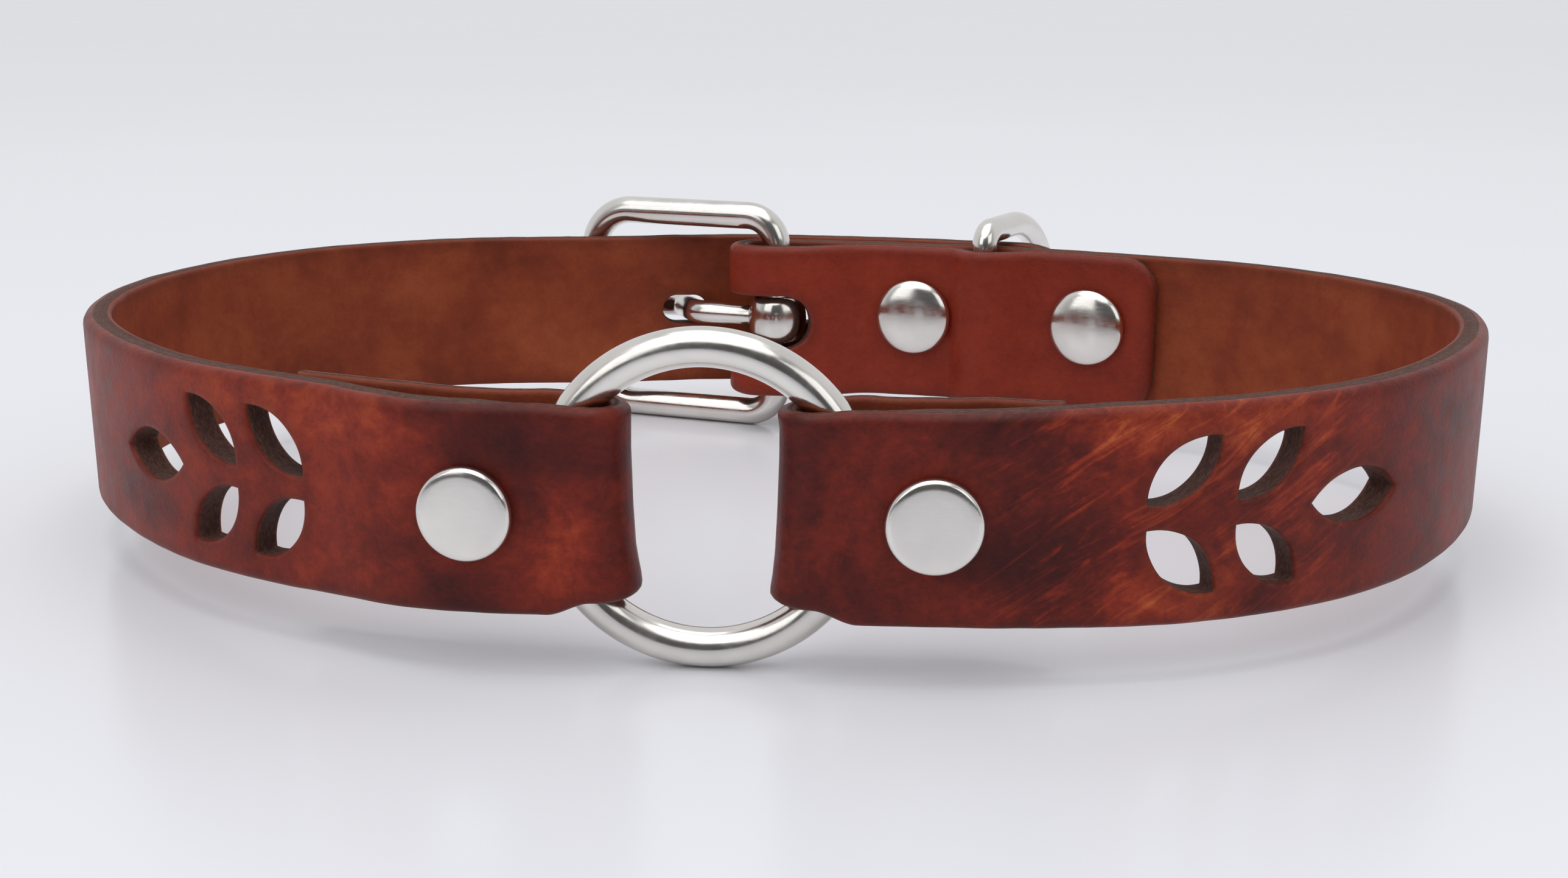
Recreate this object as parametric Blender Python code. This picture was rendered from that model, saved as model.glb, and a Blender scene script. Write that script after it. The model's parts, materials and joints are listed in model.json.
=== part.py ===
"""Dog collar standing on its edge: two leather straps, joined in front by an O-ring
held in riveted folds, and fastened at the back by a heel-bar buckle beside a D-ring.

+X is to the right, -Y to the front and +Z up. Lengths are in metres.
"""
import math

import bmesh
import bpy
import numpy as np
from mathutils import Vector
from mathutils.geometry import delaunay_2d_cdt

MM = 0.001

# Leather
STRAP_WIDTH = 19.0 * MM
LEATHER = 2.8 * MM
FLAP_LEATHER = 1.9 * MM
RING_FOLD_LEATHER = 1.8 * MM
BUCKLE_FOLD_LEATHER = 2.4 * MM
CLEARANCE = 0.3 * MM
SECTION_STEP = 3.2 * MM
FLAP_STEP = 2.2 * MM
CLOSE_STEP = 0.9 * MM
BEND_STEPS = 7

# Loop seen from above
HALF_LENGTH = 71.5 * MM
HALF_DEPTH = 47.0 * MM
HEEL_SHARE = 0.5073
FRONT_STRAIGHT = 16.0 * MM
FRONT_EASING = 18.0 * MM
OUTWARD_REACH = 1.5 * MM

# O-ring
RING_ROOM = 3.8 * MM
RING_WIRE = 3.4 * MM
RING_RAISE = 0.5 * MM
RING_STEPS = 40
WIRE_SIDES = 12
FOLD_TRIM = 1.05 * MM
FOLD_WIDENING = 4.0 * MM
NECK_TRIM = 0.4 * MM
NECK_END = 40.0 * MM
LEFT_FLAP = 38.5 * MM
RIGHT_FLAP = 30.5 * MM

# Rivets
RIVET_CAP = 8.2 * MM
BACK_RIVET_CAP = 9.3 * MM
BACK_RIVET_RAISE = 0.9 * MM
RIVET_CAP_RISE = 1.1 * MM
RIVET_DOME_RISE = 1.9 * MM
RIVET_FLAT_HEAD = 0.6 * MM
RIVET_POST = 3.2 * MM
RIVET_HOLE = 4.1 * MM
RIVET_SIDES = 20
RIVET_RIM = 0.4 * MM
FRONT_RIVET_FROM_RING = 19.3 * MM
FRONT_RIVET_AIR = 2.7 * MM
HEEL_RIVET_BEFORE_D = 8.6 * MM
FLAP_RIVET_PAST_D = 13.9 * MM

# Buckle frame, with its heel bar to the right and its front bar to the left
BUCKLE_WIRE = 3.4 * MM
BUCKLE_ROOM = 1.5 * MM
BUCKLE_BAR_SPACING = 25.5 * MM
BUCKLE_FRONT_CORNER = 5.4 * MM
BUCKLE_HEEL_CORNER = 4.0 * MM
BUCKLE_FOLD_BEYOND_BAR = 6.1 * MM
FLAP_PAST_RIVET = 8.1 * MM
FLAP_CORNER = 4.2 * MM

# Tongue and the slot for it
TONGUE_WIRE = 3.0 * MM
TONGUE_EYE = 7.4 * MM
TONGUE_EYE_HEIGHT = 5.8 * MM
TONGUE_PAST_BAR = 2.8 * MM
SLOT_HEIGHT = 6.8 * MM
SLOT_PAST_HEEL = 4.6 * MM

# Tail of the left strap, which lies over the buckle's fold
TAIL_BEFORE_RIVET = 2.5 * MM
TAIL_ROUNDING = 8.0 * MM
TAIL_TIP = 7.0 * MM
PIN_HOLE_FROM_HEEL = 12.9 * MM
PIN_HOLE_LENGTH = 5.8 * MM
PIN_HOLE_HEIGHT = 3.7 * MM
SPARE_HOLE = 3.6 * MM
SPARE_HOLE_PITCH = 16.0 * MM
SPARE_HOLES = 2

# D-ring, whose bar is held between the layers of the buckle strap
D_WIRE = 3.1 * MM
D_ROOM = 2.2 * MM
D_ARM = 8.0 * MM
D_CORNER = 1.9 * MM
D_FROM_HEEL = 26.6 * MM
D_SWING = math.radians(13.5)
D_SETTLE = 0.85 * MM
D_BULGE_BEFORE = 4.4 * MM
D_BULGE_PAST = 7.5 * MM

# Pierced leaf sprig, one on each side of the front
SPRIG_FROM_RING = (46.5 * MM, 47.5 * MM)
SPRIG_LEAVES = (
    # base along the stem, base off the stem, angle in degrees, length, width
    (4.4 * MM, 0.0 * MM, 0.0, 10.2 * MM, 4.8 * MM),
    (-3.0 * MM, 1.1 * MM, 43.0, 8.3 * MM, 4.0 * MM),
    (-3.0 * MM, -1.1 * MM, -43.0, 8.3 * MM, 4.0 * MM),
    (-10.8 * MM, 1.1 * MM, 43.0, 8.3 * MM, 4.0 * MM),
    (-10.8 * MM, -1.1 * MM, -43.0, 8.3 * MM, 4.0 * MM),
)
LEAF_STEPS = 5
HOLE_STEPS = 8

# Plan of the loop, counterclockwise from the O-ring, as shares of the half length and depth
PLAN = (
    # along X, along Y
    (-0.069, -0.968),
    (0.196, -0.998),
    (0.515, -0.953),
    (0.776, -0.740),
    (0.960, -0.340),
    (0.999, 0.064),
    (0.850, 0.457),
    (0.561, 0.722),
    (0.276, 0.867),
    (0.000, 0.948),
    (-0.378, 0.991),
    (-0.640, 0.919),
    (-0.860, 0.672),
    (-0.973, 0.277),
    (-0.945, -0.149),
    (-0.766, -0.553),
    (-0.524, -0.804),
    (-0.280, -0.930),
)
PLAN_STEPS = 24

# Offsets across the leather, from the middle of the single layer, outward positive
OUTER_FACE = LEATHER / 2
RING_OFFSET = OUTER_FACE - RING_FOLD_LEATHER - CLEARANCE - RING_WIRE / 2
RING_FLAP_FACE = RING_OFFSET - RING_WIRE / 2 - CLEARANCE
RIVET_FLAP_FACE = -LEATHER / 2 - FRONT_RIVET_AIR
CLOSED_FLAP_FACE = -LEATHER / 2 - CLEARANCE
HEEL_OFFSET = OUTER_FACE - BUCKLE_FOLD_LEATHER - CLEARANCE - BUCKLE_WIRE / 2
HEEL_FLAP_FACE = HEEL_OFFSET - BUCKLE_WIRE / 2 - CLEARANCE
D_OFFSET = D_SETTLE - LEATHER / 2 - CLEARANCE - D_WIRE / 2
TAIL_OFFSET = OUTER_FACE + RIVET_FLAT_HEAD + 2 * CLEARANCE + LEATHER / 2

# Hardware sized to the strap, and heights from the middle of the strap
RING_INNER = STRAP_WIDTH + RING_ROOM
RING_RADIUS = (RING_INNER + RING_WIRE) / 2
FOLD_HEIGHT = STRAP_WIDTH - 2 * FOLD_TRIM
FOLD_TO_RING_CENTRE = (math.sqrt(RING_INNER ** 2 - FOLD_HEIGHT ** 2) / 2
                       - 1.8 * CLEARANCE - RING_FOLD_LEATHER)
BUCKLE_HEIGHT = STRAP_WIDTH + 2 * BUCKLE_ROOM + 2 * BUCKLE_WIRE
D_INNER = STRAP_WIDTH + D_ROOM
FLOOR = RING_RAISE - RING_RADIUS - RING_WIRE / 2
BUCKLE_RAISE = FLOOR + BUCKLE_HEIGHT / 2
D_RAISE = FLOOR + D_INNER / 2 + D_WIRE

# Distances from the heel bar
HEEL_RIVET_AT = D_FROM_HEEL - HEEL_RIVET_BEFORE_D
FLAP_RIVET_AT = D_FROM_HEEL + FLAP_RIVET_PAST_D
BUCKLE_FLAP = FLAP_RIVET_AT + FLAP_PAST_RIVET
TAIL_PAST_HEEL = FLAP_RIVET_AT - TAIL_BEFORE_RIVET
D_SETTLE_REACH = HEEL_RIVET_BEFORE_D - RIVET_CAP / 2


def smooth(x, x0, x1, a, b):
    """Value that eases from a at x0 to b at x1."""
    f = min(max((x - x0) / (x1 - x0), 0.0), 1.0)
    return a + (b - a) * f * f * (3 - 2 * f)


def plan_points():
    """Closed smooth curve through the rows of the plan, straight across the O-ring."""
    rows = [np.array((x * HALF_LENGTH, y * HALF_DEPTH)) for x, y in PLAN]
    count = len(rows)
    points = []
    for i in range(count):
        before, start, end, after = (rows[(i + k) % count] for k in (-1, 0, 1, 2))
        for j in range(PLAN_STEPS):
            f = j / PLAN_STEPS
            points.append(0.5 * (2 * start + (end - before) * f
                                 + (2 * before - 5 * start + 4 * end - after) * f ** 2
                                 + (3 * start - before - 3 * end + after) * f ** 3))
    centre = points[0]
    along = points[1] - points[-1]
    along = along / np.linalg.norm(along)
    eased = []
    for point in points:
        reach = np.linalg.norm(point - centre)
        share = smooth(reach, FRONT_STRAIGHT, FRONT_STRAIGHT + FRONT_EASING, 1.0, 0.0)
        flat = centre + along * np.dot(point - centre, along)
        eased.append(point * (1 - share) + flat * share)
    return np.array(eased + [eased[0]])


LOOP = plan_points()
LOOP_AT = np.concatenate(([0.0], np.cumsum(np.linalg.norm(np.diff(LOOP, axis=0), axis=1))))
LOOP_LENGTH = LOOP_AT[-1]
HEEL_AT = HEEL_SHARE * LOOP_LENGTH


def loop_place(s):
    """Plan point at the distance s round the loop from the O-ring, rightwards positive."""
    s = s % LOOP_LENGTH
    return np.array([np.interp(s, LOOP_AT, LOOP[:, k]) for k in (0, 1)])


def loop_outward(s):
    """Unit plan vector that points out of the loop at s."""
    along = loop_place(s + OUTWARD_REACH) - loop_place(s - OUTWARD_REACH)
    along = along / np.linalg.norm(along)
    return np.array((along[1], -along[0]))


def place(s, offset):
    """Plan point beside the loop at s, offset outward."""
    return loop_place(s) + loop_outward(s) * offset


def station(layer, s, offset, thickness, top, bottom):
    """One upright section of a strap."""
    return {"layer": layer, "s": s, "at": place(s, offset),
            "thickness": thickness, "top": top, "bottom": bottom}


def spread(start, end, step):
    """Evenly spaced values from start to end, both included."""
    count = max(2, math.ceil(abs(end - start) / step) + 1)
    return np.linspace(start, end, count)


def fold_bend(locate, centre, middle, radius, thickness, top, bottom):
    """Sections round a fold, whose middle line turns about centre from flap to outer layer.

    locate gives the place round the loop of a distance from what the fold holds.
    """
    rows = []
    for angle in np.linspace(0, math.pi, BEND_STEPS + 1)[1:-1]:
        s = locate(centre - radius * math.sin(angle))
        offset = middle - radius * math.cos(angle)
        rows.append(station("bend", s, offset, thickness, top, bottom))
    return rows


def half_width(u):
    """Half the strap's width at the distance u from the O-ring, a little less near it."""
    full = STRAP_WIDTH / 2
    return smooth(u, FRONT_RIVET_FROM_RING, NECK_END, full - NECK_TRIM, full)


def ring_fold(side, flap_length):
    """Sections from the end of the inner flap, round the O-ring and on to the outer layer."""
    outer_middle = OUTER_FACE - RING_FOLD_LEATHER / 2
    flap_middle = RING_FLAP_FACE - RING_FOLD_LEATHER / 2
    radius = (outer_middle - flap_middle) / 2
    centre = FOLD_TO_RING_CENTRE + radius + RING_FOLD_LEATHER / 2
    fold_top = min(half_width(0), RING_RAISE + FOLD_HEIGHT / 2)
    fold_bottom = max(-half_width(0), RING_RAISE - FOLD_HEIGHT / 2)
    widen = (centre, centre + FOLD_WIDENING)
    cap_start = FRONT_RIVET_FROM_RING - RIVET_CAP / 2
    cap_end = FRONT_RIVET_FROM_RING + RIVET_CAP / 2 + CLEARANCE
    lift = (RING_RADIUS + 2 * CLEARANCE, cap_start)

    def heights(u):
        half = half_width(u)
        return smooth(u, *widen, fold_top, half), smooth(u, *widen, fold_bottom, -half)

    def flap(u):
        face = smooth(u, *lift, RING_FLAP_FACE, RIVET_FLAP_FACE)
        if u > cap_end:
            face = smooth(u, cap_end, flap_length, RIVET_FLAP_FACE, CLOSED_FLAP_FACE)
        thickness = smooth(u, centre, cap_start, RING_FOLD_LEATHER, FLAP_LEATHER)
        return station("flap", side * u, face - thickness / 2, thickness, *heights(u))

    def outer(u):
        thickness = smooth(u, RING_RADIUS + RING_WIRE / 2 + CLEARANCE,
                           FRONT_RIVET_FROM_RING, RING_FOLD_LEATHER, LEATHER)
        return station("outer", side * u, OUTER_FACE - thickness / 2, thickness, *heights(u))

    rows = [flap(u) for u in spread(flap_length, cap_end, FLAP_STEP)]
    rows += [flap(u) for u in spread(cap_start, centre, CLOSE_STEP)]
    rows += fold_bend(lambda u: side * u, centre, (outer_middle + flap_middle) / 2, radius,
                      RING_FOLD_LEATHER, fold_top, fold_bottom)
    rows += [outer(u) for u in spread(centre, cap_start, CLOSE_STEP)]
    rows += [outer(u) for u in spread(FRONT_RIVET_FROM_RING, cap_end, FLAP_STEP)]
    return rows


def swell(v, start, end):
    """Share of a bulge over the D-ring's bar, from nothing at start and end to one there."""
    reach = start - D_FROM_HEEL if v < D_FROM_HEEL else end - D_FROM_HEEL
    return math.cos(math.pi / 2 * min((v - D_FROM_HEEL) / reach, 1.0)) ** 2


def buckle_fold():
    """Sections of the right strap round the heel bar and along the flap inside."""
    outer_middle = OUTER_FACE - BUCKLE_FOLD_LEATHER / 2
    flap_middle = HEEL_FLAP_FACE - BUCKLE_FOLD_LEATHER / 2
    radius = (outer_middle - flap_middle) / 2
    centre = radius + BUCKLE_FOLD_LEATHER / 2 - BUCKLE_FOLD_BEYOND_BAR
    full = STRAP_WIDTH / 2
    first_cap = HEEL_RIVET_AT - BACK_RIVET_CAP / 2
    settle = (D_FROM_HEEL + D_SETTLE_REACH, D_FROM_HEEL - D_SETTLE_REACH)
    bulge = (D_FROM_HEEL - D_BULGE_BEFORE, D_FROM_HEEL + D_BULGE_PAST)
    bulge_face = D_OFFSET - D_WIRE / 2 - 2 * CLEARANCE

    def outer(v):
        thickness = smooth(v, centre, first_cap, BUCKLE_FOLD_LEATHER, LEATHER)
        pushed = D_SETTLE * swell(v, *settle[::-1])
        return station("outer", HEEL_AT - v, OUTER_FACE + pushed - thickness / 2, thickness,
                       full, -full)

    def flap(v):
        face = smooth(v, BUCKLE_WIRE / 2, first_cap, HEEL_FLAP_FACE, CLOSED_FLAP_FACE)
        face += (bulge_face - CLOSED_FLAP_FACE) * swell(v, *bulge)
        thickness = smooth(v, centre, first_cap, BUCKLE_FOLD_LEATHER, FLAP_LEATHER)
        inset = min(max(0.0, v - (BUCKLE_FLAP - FLAP_CORNER)), FLAP_CORNER)
        height = full - FLAP_CORNER + math.sqrt(FLAP_CORNER ** 2 - inset ** 2)
        return station("flap", HEEL_AT - v, face - thickness / 2, thickness, height, -height)

    rows = [outer(v) for v in spread(*settle, CLOSE_STEP)]
    rows += [outer(v) for v in spread(settle[1], centre, FLAP_STEP)[1:]]
    bend = fold_bend(lambda v: HEEL_AT - v, centre, (outer_middle + flap_middle) / 2, radius,
                     BUCKLE_FOLD_LEATHER, full, -full)
    rows += bend[::-1]
    rows += [flap(v) for v in spread(centre, bulge[0], FLAP_STEP)]
    rows += [flap(v) for v in spread(*bulge, CLOSE_STEP)[1:]]
    rows += [flap(v) for v in spread(bulge[1], BUCKLE_FLAP - FLAP_CORNER, SECTION_STEP)[1:]]
    for angle in np.linspace(0, math.pi / 2, 6)[1:]:
        rows.append(flap(BUCKLE_FLAP - FLAP_CORNER * (1 - math.sin(angle))))
    return rows


def right_strap_rows():
    """Sections of the buckle strap from its front flap to its back flap."""
    rows = ring_fold(1, RIGHT_FLAP)
    back = buckle_fold()
    for s in spread(rows[-1]["s"], back[0]["s"], SECTION_STEP)[1:-1]:
        half = half_width(s)
        rows.append(station("outer", s, 0.0, LEATHER, half, -half))
    return rows + back


def tail_offset(v):
    """How far out the left strap runs at the distance v to the right of the heel bar."""
    return smooth(v, -1.06 * BUCKLE_BAR_SPACING, -0.1 * BUCKLE_BAR_SPACING, 0.0, TAIL_OFFSET)


def left_strap_rows():
    """Sections of the billet strap from its front flap to the tip of its tail."""
    rows = ring_fold(-1, LEFT_FLAP)
    full = STRAP_WIDTH / 2
    start = rows[-1]["s"]
    rounding_start = TAIL_PAST_HEEL - TAIL_ROUNDING
    end = HEEL_AT - rounding_start - LOOP_LENGTH
    for s in spread(start, end, SECTION_STEP)[1:]:
        half = half_width(-s)
        offset = tail_offset(HEEL_AT - LOOP_LENGTH - s)
        rows.append(station("outer", s, offset, LEATHER, half, -half))
    for angle in np.linspace(0, math.pi / 2, 7)[1:]:
        v = rounding_start + TAIL_ROUNDING * math.sin(angle)
        height = TAIL_TIP / 2 + (full - TAIL_TIP / 2) * math.cos(angle)
        s = HEEL_AT - LOOP_LENGTH - v
        rows.append(station("outer", s, tail_offset(v), LEATHER, height, -height))
    return rows


def path_lengths(rows):
    """Distance of each section from the first, along the middle of the leather."""
    steps = [np.linalg.norm(b["at"] - a["at"]) for a, b in zip(rows, rows[1:])]
    return np.concatenate(([0.0], np.cumsum(steps)))


def length_at(rows, lengths, layer, s):
    """Distance along the leather of the point over s in the layer."""
    pairs = sorted((row["s"], at) for row, at in zip(rows, lengths) if row["layer"] == layer)
    return float(np.interp(s, [p[0] for p in pairs], [p[1] for p in pairs]))


def round_hole(along, diameter, raised=0.0):
    """Outline of a round hole in the flat leather."""
    return [(x, z + raised) for x, z in slot_hole(along, along, diameter)]


def slot_hole(start, end, height):
    """Outline of a slot with round ends in the flat leather."""
    radius = height / 2
    outline = []
    for centre, turn in ((end, -0.5), (start, 0.5)):
        for k in range(HOLE_STEPS if start == end else HOLE_STEPS + 1):
            angle = math.pi * (turn + k / HOLE_STEPS)
            outline.append((centre + radius * math.cos(angle), radius * math.sin(angle)))
    return outline


def leaf_hole(along, row):
    """Outline of one pointed leaf of the sprig, between two arcs that meet at its ends."""
    base, off, degrees, length, width = row
    chord = length / 2
    bow = width / 2
    radius = (chord ** 2 + bow ** 2) / (2 * bow)
    reach = math.asin(chord / radius)
    turn = math.radians(degrees)
    outline = []
    for half in (1, -1):
        for k in range(2 * LEAF_STEPS):
            angle = reach * (k / LEAF_STEPS - 1) * half
            x = chord + radius * math.sin(angle)
            y = half * (radius * math.cos(angle) - radius + bow)
            outline.append((along + base + x * math.cos(turn) - y * math.sin(turn),
                            off + x * math.sin(turn) + y * math.cos(turn)))
    return outline


def inside(point, outline):
    """Whether the point lies within the closed outline."""
    x, y = point
    crossed = False
    for (x0, y0), (x1, y1) in zip(outline, outline[1:] + outline[:1]):
        if (y0 > y) != (y1 > y) and x < x0 + (y - y0) * (x1 - x0) / (y1 - y0):
            crossed = not crossed
    return crossed


def flat_triangles(rows, lengths, holes):
    """Triangles of the flat strap, crossed by every section and cut by the holes."""
    points = []
    edges = []
    for row, at in zip(rows, lengths):
        points += [(at, row["top"]), (at, row["bottom"])]
    for i in range(len(rows)):
        edges.append((2 * i, 2 * i + 1))
        if i:
            edges += [(2 * i - 2, 2 * i), (2 * i - 1, 2 * i + 1)]
    for hole in holes:
        first = len(points)
        points += hole
        edges += [(first + k, first + (k + 1) % len(hole)) for k in range(len(hole))]
    scale = 1 / MM
    flat = [Vector((x * scale, y * scale)) for x, y in points]
    flat, _, faces, _, _, _ = delaunay_2d_cdt(flat, edges, [], 0, 1e-5)
    flat = [(p.x * MM, p.y * MM) for p in flat]
    border = [(at, row["top"]) for row, at in zip(rows, lengths)]
    border += [(at, row["bottom"]) for row, at in reversed(list(zip(rows, lengths)))]
    kept = []
    for face in faces:
        middle = tuple(sum(flat[k][axis] for k in face) / len(face) for axis in (0, 1))
        if inside(middle, border) and not any(inside(middle, hole) for hole in holes):
            kept.append(tuple(face))
    return flat, kept


def section_sides(rows):
    """Plan points of the two faces of the leather at each section."""
    sides = []
    for i, row in enumerate(rows):
        before = rows[max(i - 1, 0)]["at"]
        after = rows[min(i + 1, len(rows) - 1)]["at"]
        one = row["at"] - before if i else after - row["at"]
        two = after - row["at"] if i < len(rows) - 1 else one
        normals = [np.array((v[1], -v[0])) / np.linalg.norm(v) for v in (one, two)]
        mitre = (normals[0] + normals[1]) / (1 + np.dot(normals[0], normals[1]))
        half = mitre * row["thickness"] / 2
        sides.append((row["at"] + half, row["at"] - half))
    return sides


def new_object(name, mesh, material):
    """Object of the mesh, with its material, in the scene."""
    mesh.materials.append(material)
    thing = bpy.data.objects.new(name, mesh)
    bpy.context.scene.collection.objects.link(thing)
    return thing


def strap(name, rows, holes, material):
    """Leather strap that is cut flat and then bent round its path."""
    lengths = path_lengths(rows)
    flat, triangles = flat_triangles(rows, lengths, holes)
    sides = section_sides(rows)
    form = bmesh.new()
    layers = []
    for face in (0, 1):
        made = {}
        for k in sorted({k for triangle in triangles for k in triangle}):
            x, z = flat[k]
            i = min(max(int(np.searchsorted(lengths, x)) - 1, 0), len(rows) - 2)
            share = (x - lengths[i]) / (lengths[i + 1] - lengths[i])
            at = sides[i][face] * (1 - share) + sides[i + 1][face] * share
            made[k] = form.verts.new((at[0], at[1], z))
        layers.append(made)
    uses = {}
    for triangle in triangles:
        for a, b in zip(triangle, triangle[1:] + triangle[:1]):
            uses[(a, b)] = True
        form.faces.new([layers[0][k] for k in triangle])
        form.faces.new([layers[1][k] for k in reversed(triangle)])
    for a, b in uses:
        if (b, a) not in uses:
            front, back = layers
            form.faces.new((front[b], front[a], back[a]))
            form.faces.new((front[b], back[a], back[b]))
    bmesh.ops.recalc_face_normals(form, faces=form.faces)
    mesh = bpy.data.meshes.new(name)
    form.to_mesh(mesh)
    form.free()
    return new_object(name, mesh, material)


def round_smooth(thing, degrees=40):
    """Smooth shading with the sharp edges kept."""
    thing.data.shade_smooth()
    thing.data.set_sharp_from_angle(angle=math.radians(degrees))


def wire_mesh(name, path, normal, radius, sides, closed=True):
    """Round wire along a path in one plane, whose normal is given."""
    form = bmesh.new()
    points = [Vector(p) for p in path]
    count = len(points)
    rings = []
    for i, point in enumerate(points):
        before = points[i - 1] if closed or i else point
        after = points[(i + 1) % count] if closed or i < count - 1 else point
        across = (after - before).cross(normal).normalized()
        ring = []
        for k in range(sides):
            angle = 2 * math.pi * k / sides
            ring.append(form.verts.new(point + across * (radius * math.cos(angle))
                                       + normal * (radius * math.sin(angle))))
        rings.append(ring)
    for i in range(count if closed else count - 1):
        one = rings[i]
        two = rings[(i + 1) % count]
        for k in range(sides):
            form.faces.new((one[k], one[(k + 1) % sides], two[(k + 1) % sides], two[k]))
    if not closed:
        form.faces.new(rings[0])
        form.faces.new(rings[-1])
    bmesh.ops.recalc_face_normals(form, faces=form.faces)
    mesh = bpy.data.meshes.new(name)
    form.to_mesh(mesh)
    form.free()
    return mesh


def lathe_mesh(name, profile, sides, closed=False):
    """Turned shape about +Z through (radius, height) points."""
    form = bmesh.new()
    rings = []
    for radius, height in profile:
        if radius == 0:
            rings.append([form.verts.new((0, 0, height))])
            continue
        angles = [2 * math.pi * k / sides for k in range(sides)]
        rings.append([form.verts.new((radius * math.cos(a), radius * math.sin(a), height))
                      for a in angles])
    pairs = list(zip(rings, rings[1:]))
    if closed:
        pairs.append((rings[-1], rings[0]))
    for one, two in pairs:
        for k in range(sides):
            after = (k + 1) % sides
            corners = [one[k % len(one)], one[after % len(one)],
                       two[after % len(two)], two[k % len(two)]]
            form.faces.new(list(dict.fromkeys(corners)))
    bmesh.ops.recalc_face_normals(form, faces=form.faces)
    mesh = bpy.data.meshes.new(name)
    form.to_mesh(mesh)
    form.free()
    return mesh


def arc(centre, radius, start, end, steps):
    """Points of an arc in its own plane, angles in quarter turns."""
    return [(centre[0] + radius * math.cos(math.pi / 2 * a),
             centre[1] + radius * math.sin(math.pi / 2 * a))
            for a in np.linspace(start, end, steps + 1)]


def make_material(name, colour, roughness, metallic):
    """Plain surface of one colour."""
    material = bpy.data.materials.new(name)
    material.use_nodes = True
    shader = material.node_tree.nodes["Principled BSDF"]
    shader.inputs["Base Color"].default_value = (*colour, 1.0)
    shader.inputs["Roughness"].default_value = roughness
    shader.inputs["Metallic"].default_value = metallic
    return material


def rivet_seat(s, face, way, diameter):
    """Height of a rivet head's underside clear of the leather face that curves under it."""
    out = loop_outward(s)
    reaches = np.linspace(-diameter / 2, diameter / 2, 5)
    rises = [way * np.dot(place(s + reach, face) - loop_place(s), out) for reach in reaches]
    return way * (max(rises) + CLEARANCE)


def rivet(name, s, inner_face, outer_rise, inner_rise, inner_cap, raised, material):
    """Rivet through the layers at s, its length along the outward direction."""
    post = RIVET_POST / 2
    outer_seat = rivet_seat(s, OUTER_FACE, 1, RIVET_CAP)
    inner_seat = rivet_seat(s, inner_face, -1, inner_cap)

    def head(seat, rise, way, diameter, flat):
        cap = diameter / 2
        rim = min(0.5 * rise, RIVET_RIM)
        if flat:
            rows = [(0.0, rise), (0.74 * cap, rise), (0.93 * cap, 0.83 * rise), (cap, rim)]
        else:
            rows = [(0.0, rise), (0.36 * cap, 0.94 * rise), (0.66 * cap, 0.78 * rise),
                    (0.88 * cap, 0.52 * rise), (cap, 0.25 * rise)]
        rows += [(0.97 * cap, 0.0), (post, 0.0)]
        return [(radius, seat + way * height) for radius, height in rows]

    profile = head(outer_seat, outer_rise, 1, RIVET_CAP, True)
    profile += head(inner_seat, inner_rise, -1, inner_cap, False)[::-1]
    thing = new_object(name, lathe_mesh(name, profile, RIVET_SIDES), material)
    at = loop_place(s)
    out = loop_outward(s)
    thing.location = (at[0], at[1], raised)
    thing.rotation_euler = (math.pi / 2, 0.0, math.atan2(out[1], out[0]) + math.pi / 2)
    round_smooth(thing)
    return thing


def o_ring(material):
    """Round welded ring that joins the two straps."""
    path = [(x, 0.0, z) for x, z in arc((0.0, 0.0), RING_RADIUS, 0, 4, RING_STEPS)[:-1]]
    mesh = wire_mesh("o_ring", path, Vector((0, 1, 0)), RING_WIRE / 2, WIRE_SIDES)
    thing = new_object("o_ring", mesh, material)
    at = place(0.0, RING_OFFSET)
    out = loop_outward(0.0)
    thing.location = (at[0], at[1], RING_RAISE)
    thing.rotation_euler = (0.0, 0.0, math.atan2(out[1], out[0]) + math.pi / 2)
    round_smooth(thing)
    return thing


def buckle_ends():
    """Plan points of the heel bar and of the buckle's front bar."""
    heel = place(HEEL_AT, HEEL_OFFSET)
    low = HEEL_AT + 0.5 * BUCKLE_BAR_SPACING
    high = HEEL_AT + 1.5 * BUCKLE_BAR_SPACING
    for _ in range(40):
        s = (low + high) / 2
        offset = tail_offset(HEEL_AT - s) + OUTER_FACE + 2 * CLEARANCE + BUCKLE_WIRE / 2
        front = place(s, offset)
        if np.linalg.norm(front - heel) < BUCKLE_BAR_SPACING:
            low = s
        else:
            high = s
    return heel, front


def buckle_frame(material):
    """Rounded rectangle of round wire, its origin on the heel bar."""
    heel, front = buckle_ends()
    away = (front - heel) / np.linalg.norm(front - heel)
    half = (BUCKLE_HEIGHT - BUCKLE_WIRE) / 2
    near = BUCKLE_HEEL_CORNER
    far = BUCKLE_FRONT_CORNER
    reach = BUCKLE_BAR_SPACING
    outline = arc((near, near - half), near, 2, 3, 5)
    outline += arc((reach - far, far - half), far, 3, 4, 6)
    outline += arc((reach - far, half - far), far, 0, 1, 6)
    outline += arc((near, half - near), near, 1, 2, 5)
    path = [(away[0] * x, away[1] * x, z) for x, z in outline]
    normal = Vector((away[1], -away[0], 0.0))
    mesh = wire_mesh("buckle_frame", path, normal, BUCKLE_WIRE / 2, WIRE_SIDES)
    thing = new_object("buckle_frame", mesh, material)
    thing.location = (heel[0], heel[1], BUCKLE_RAISE)
    round_smooth(thing)
    return thing


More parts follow.
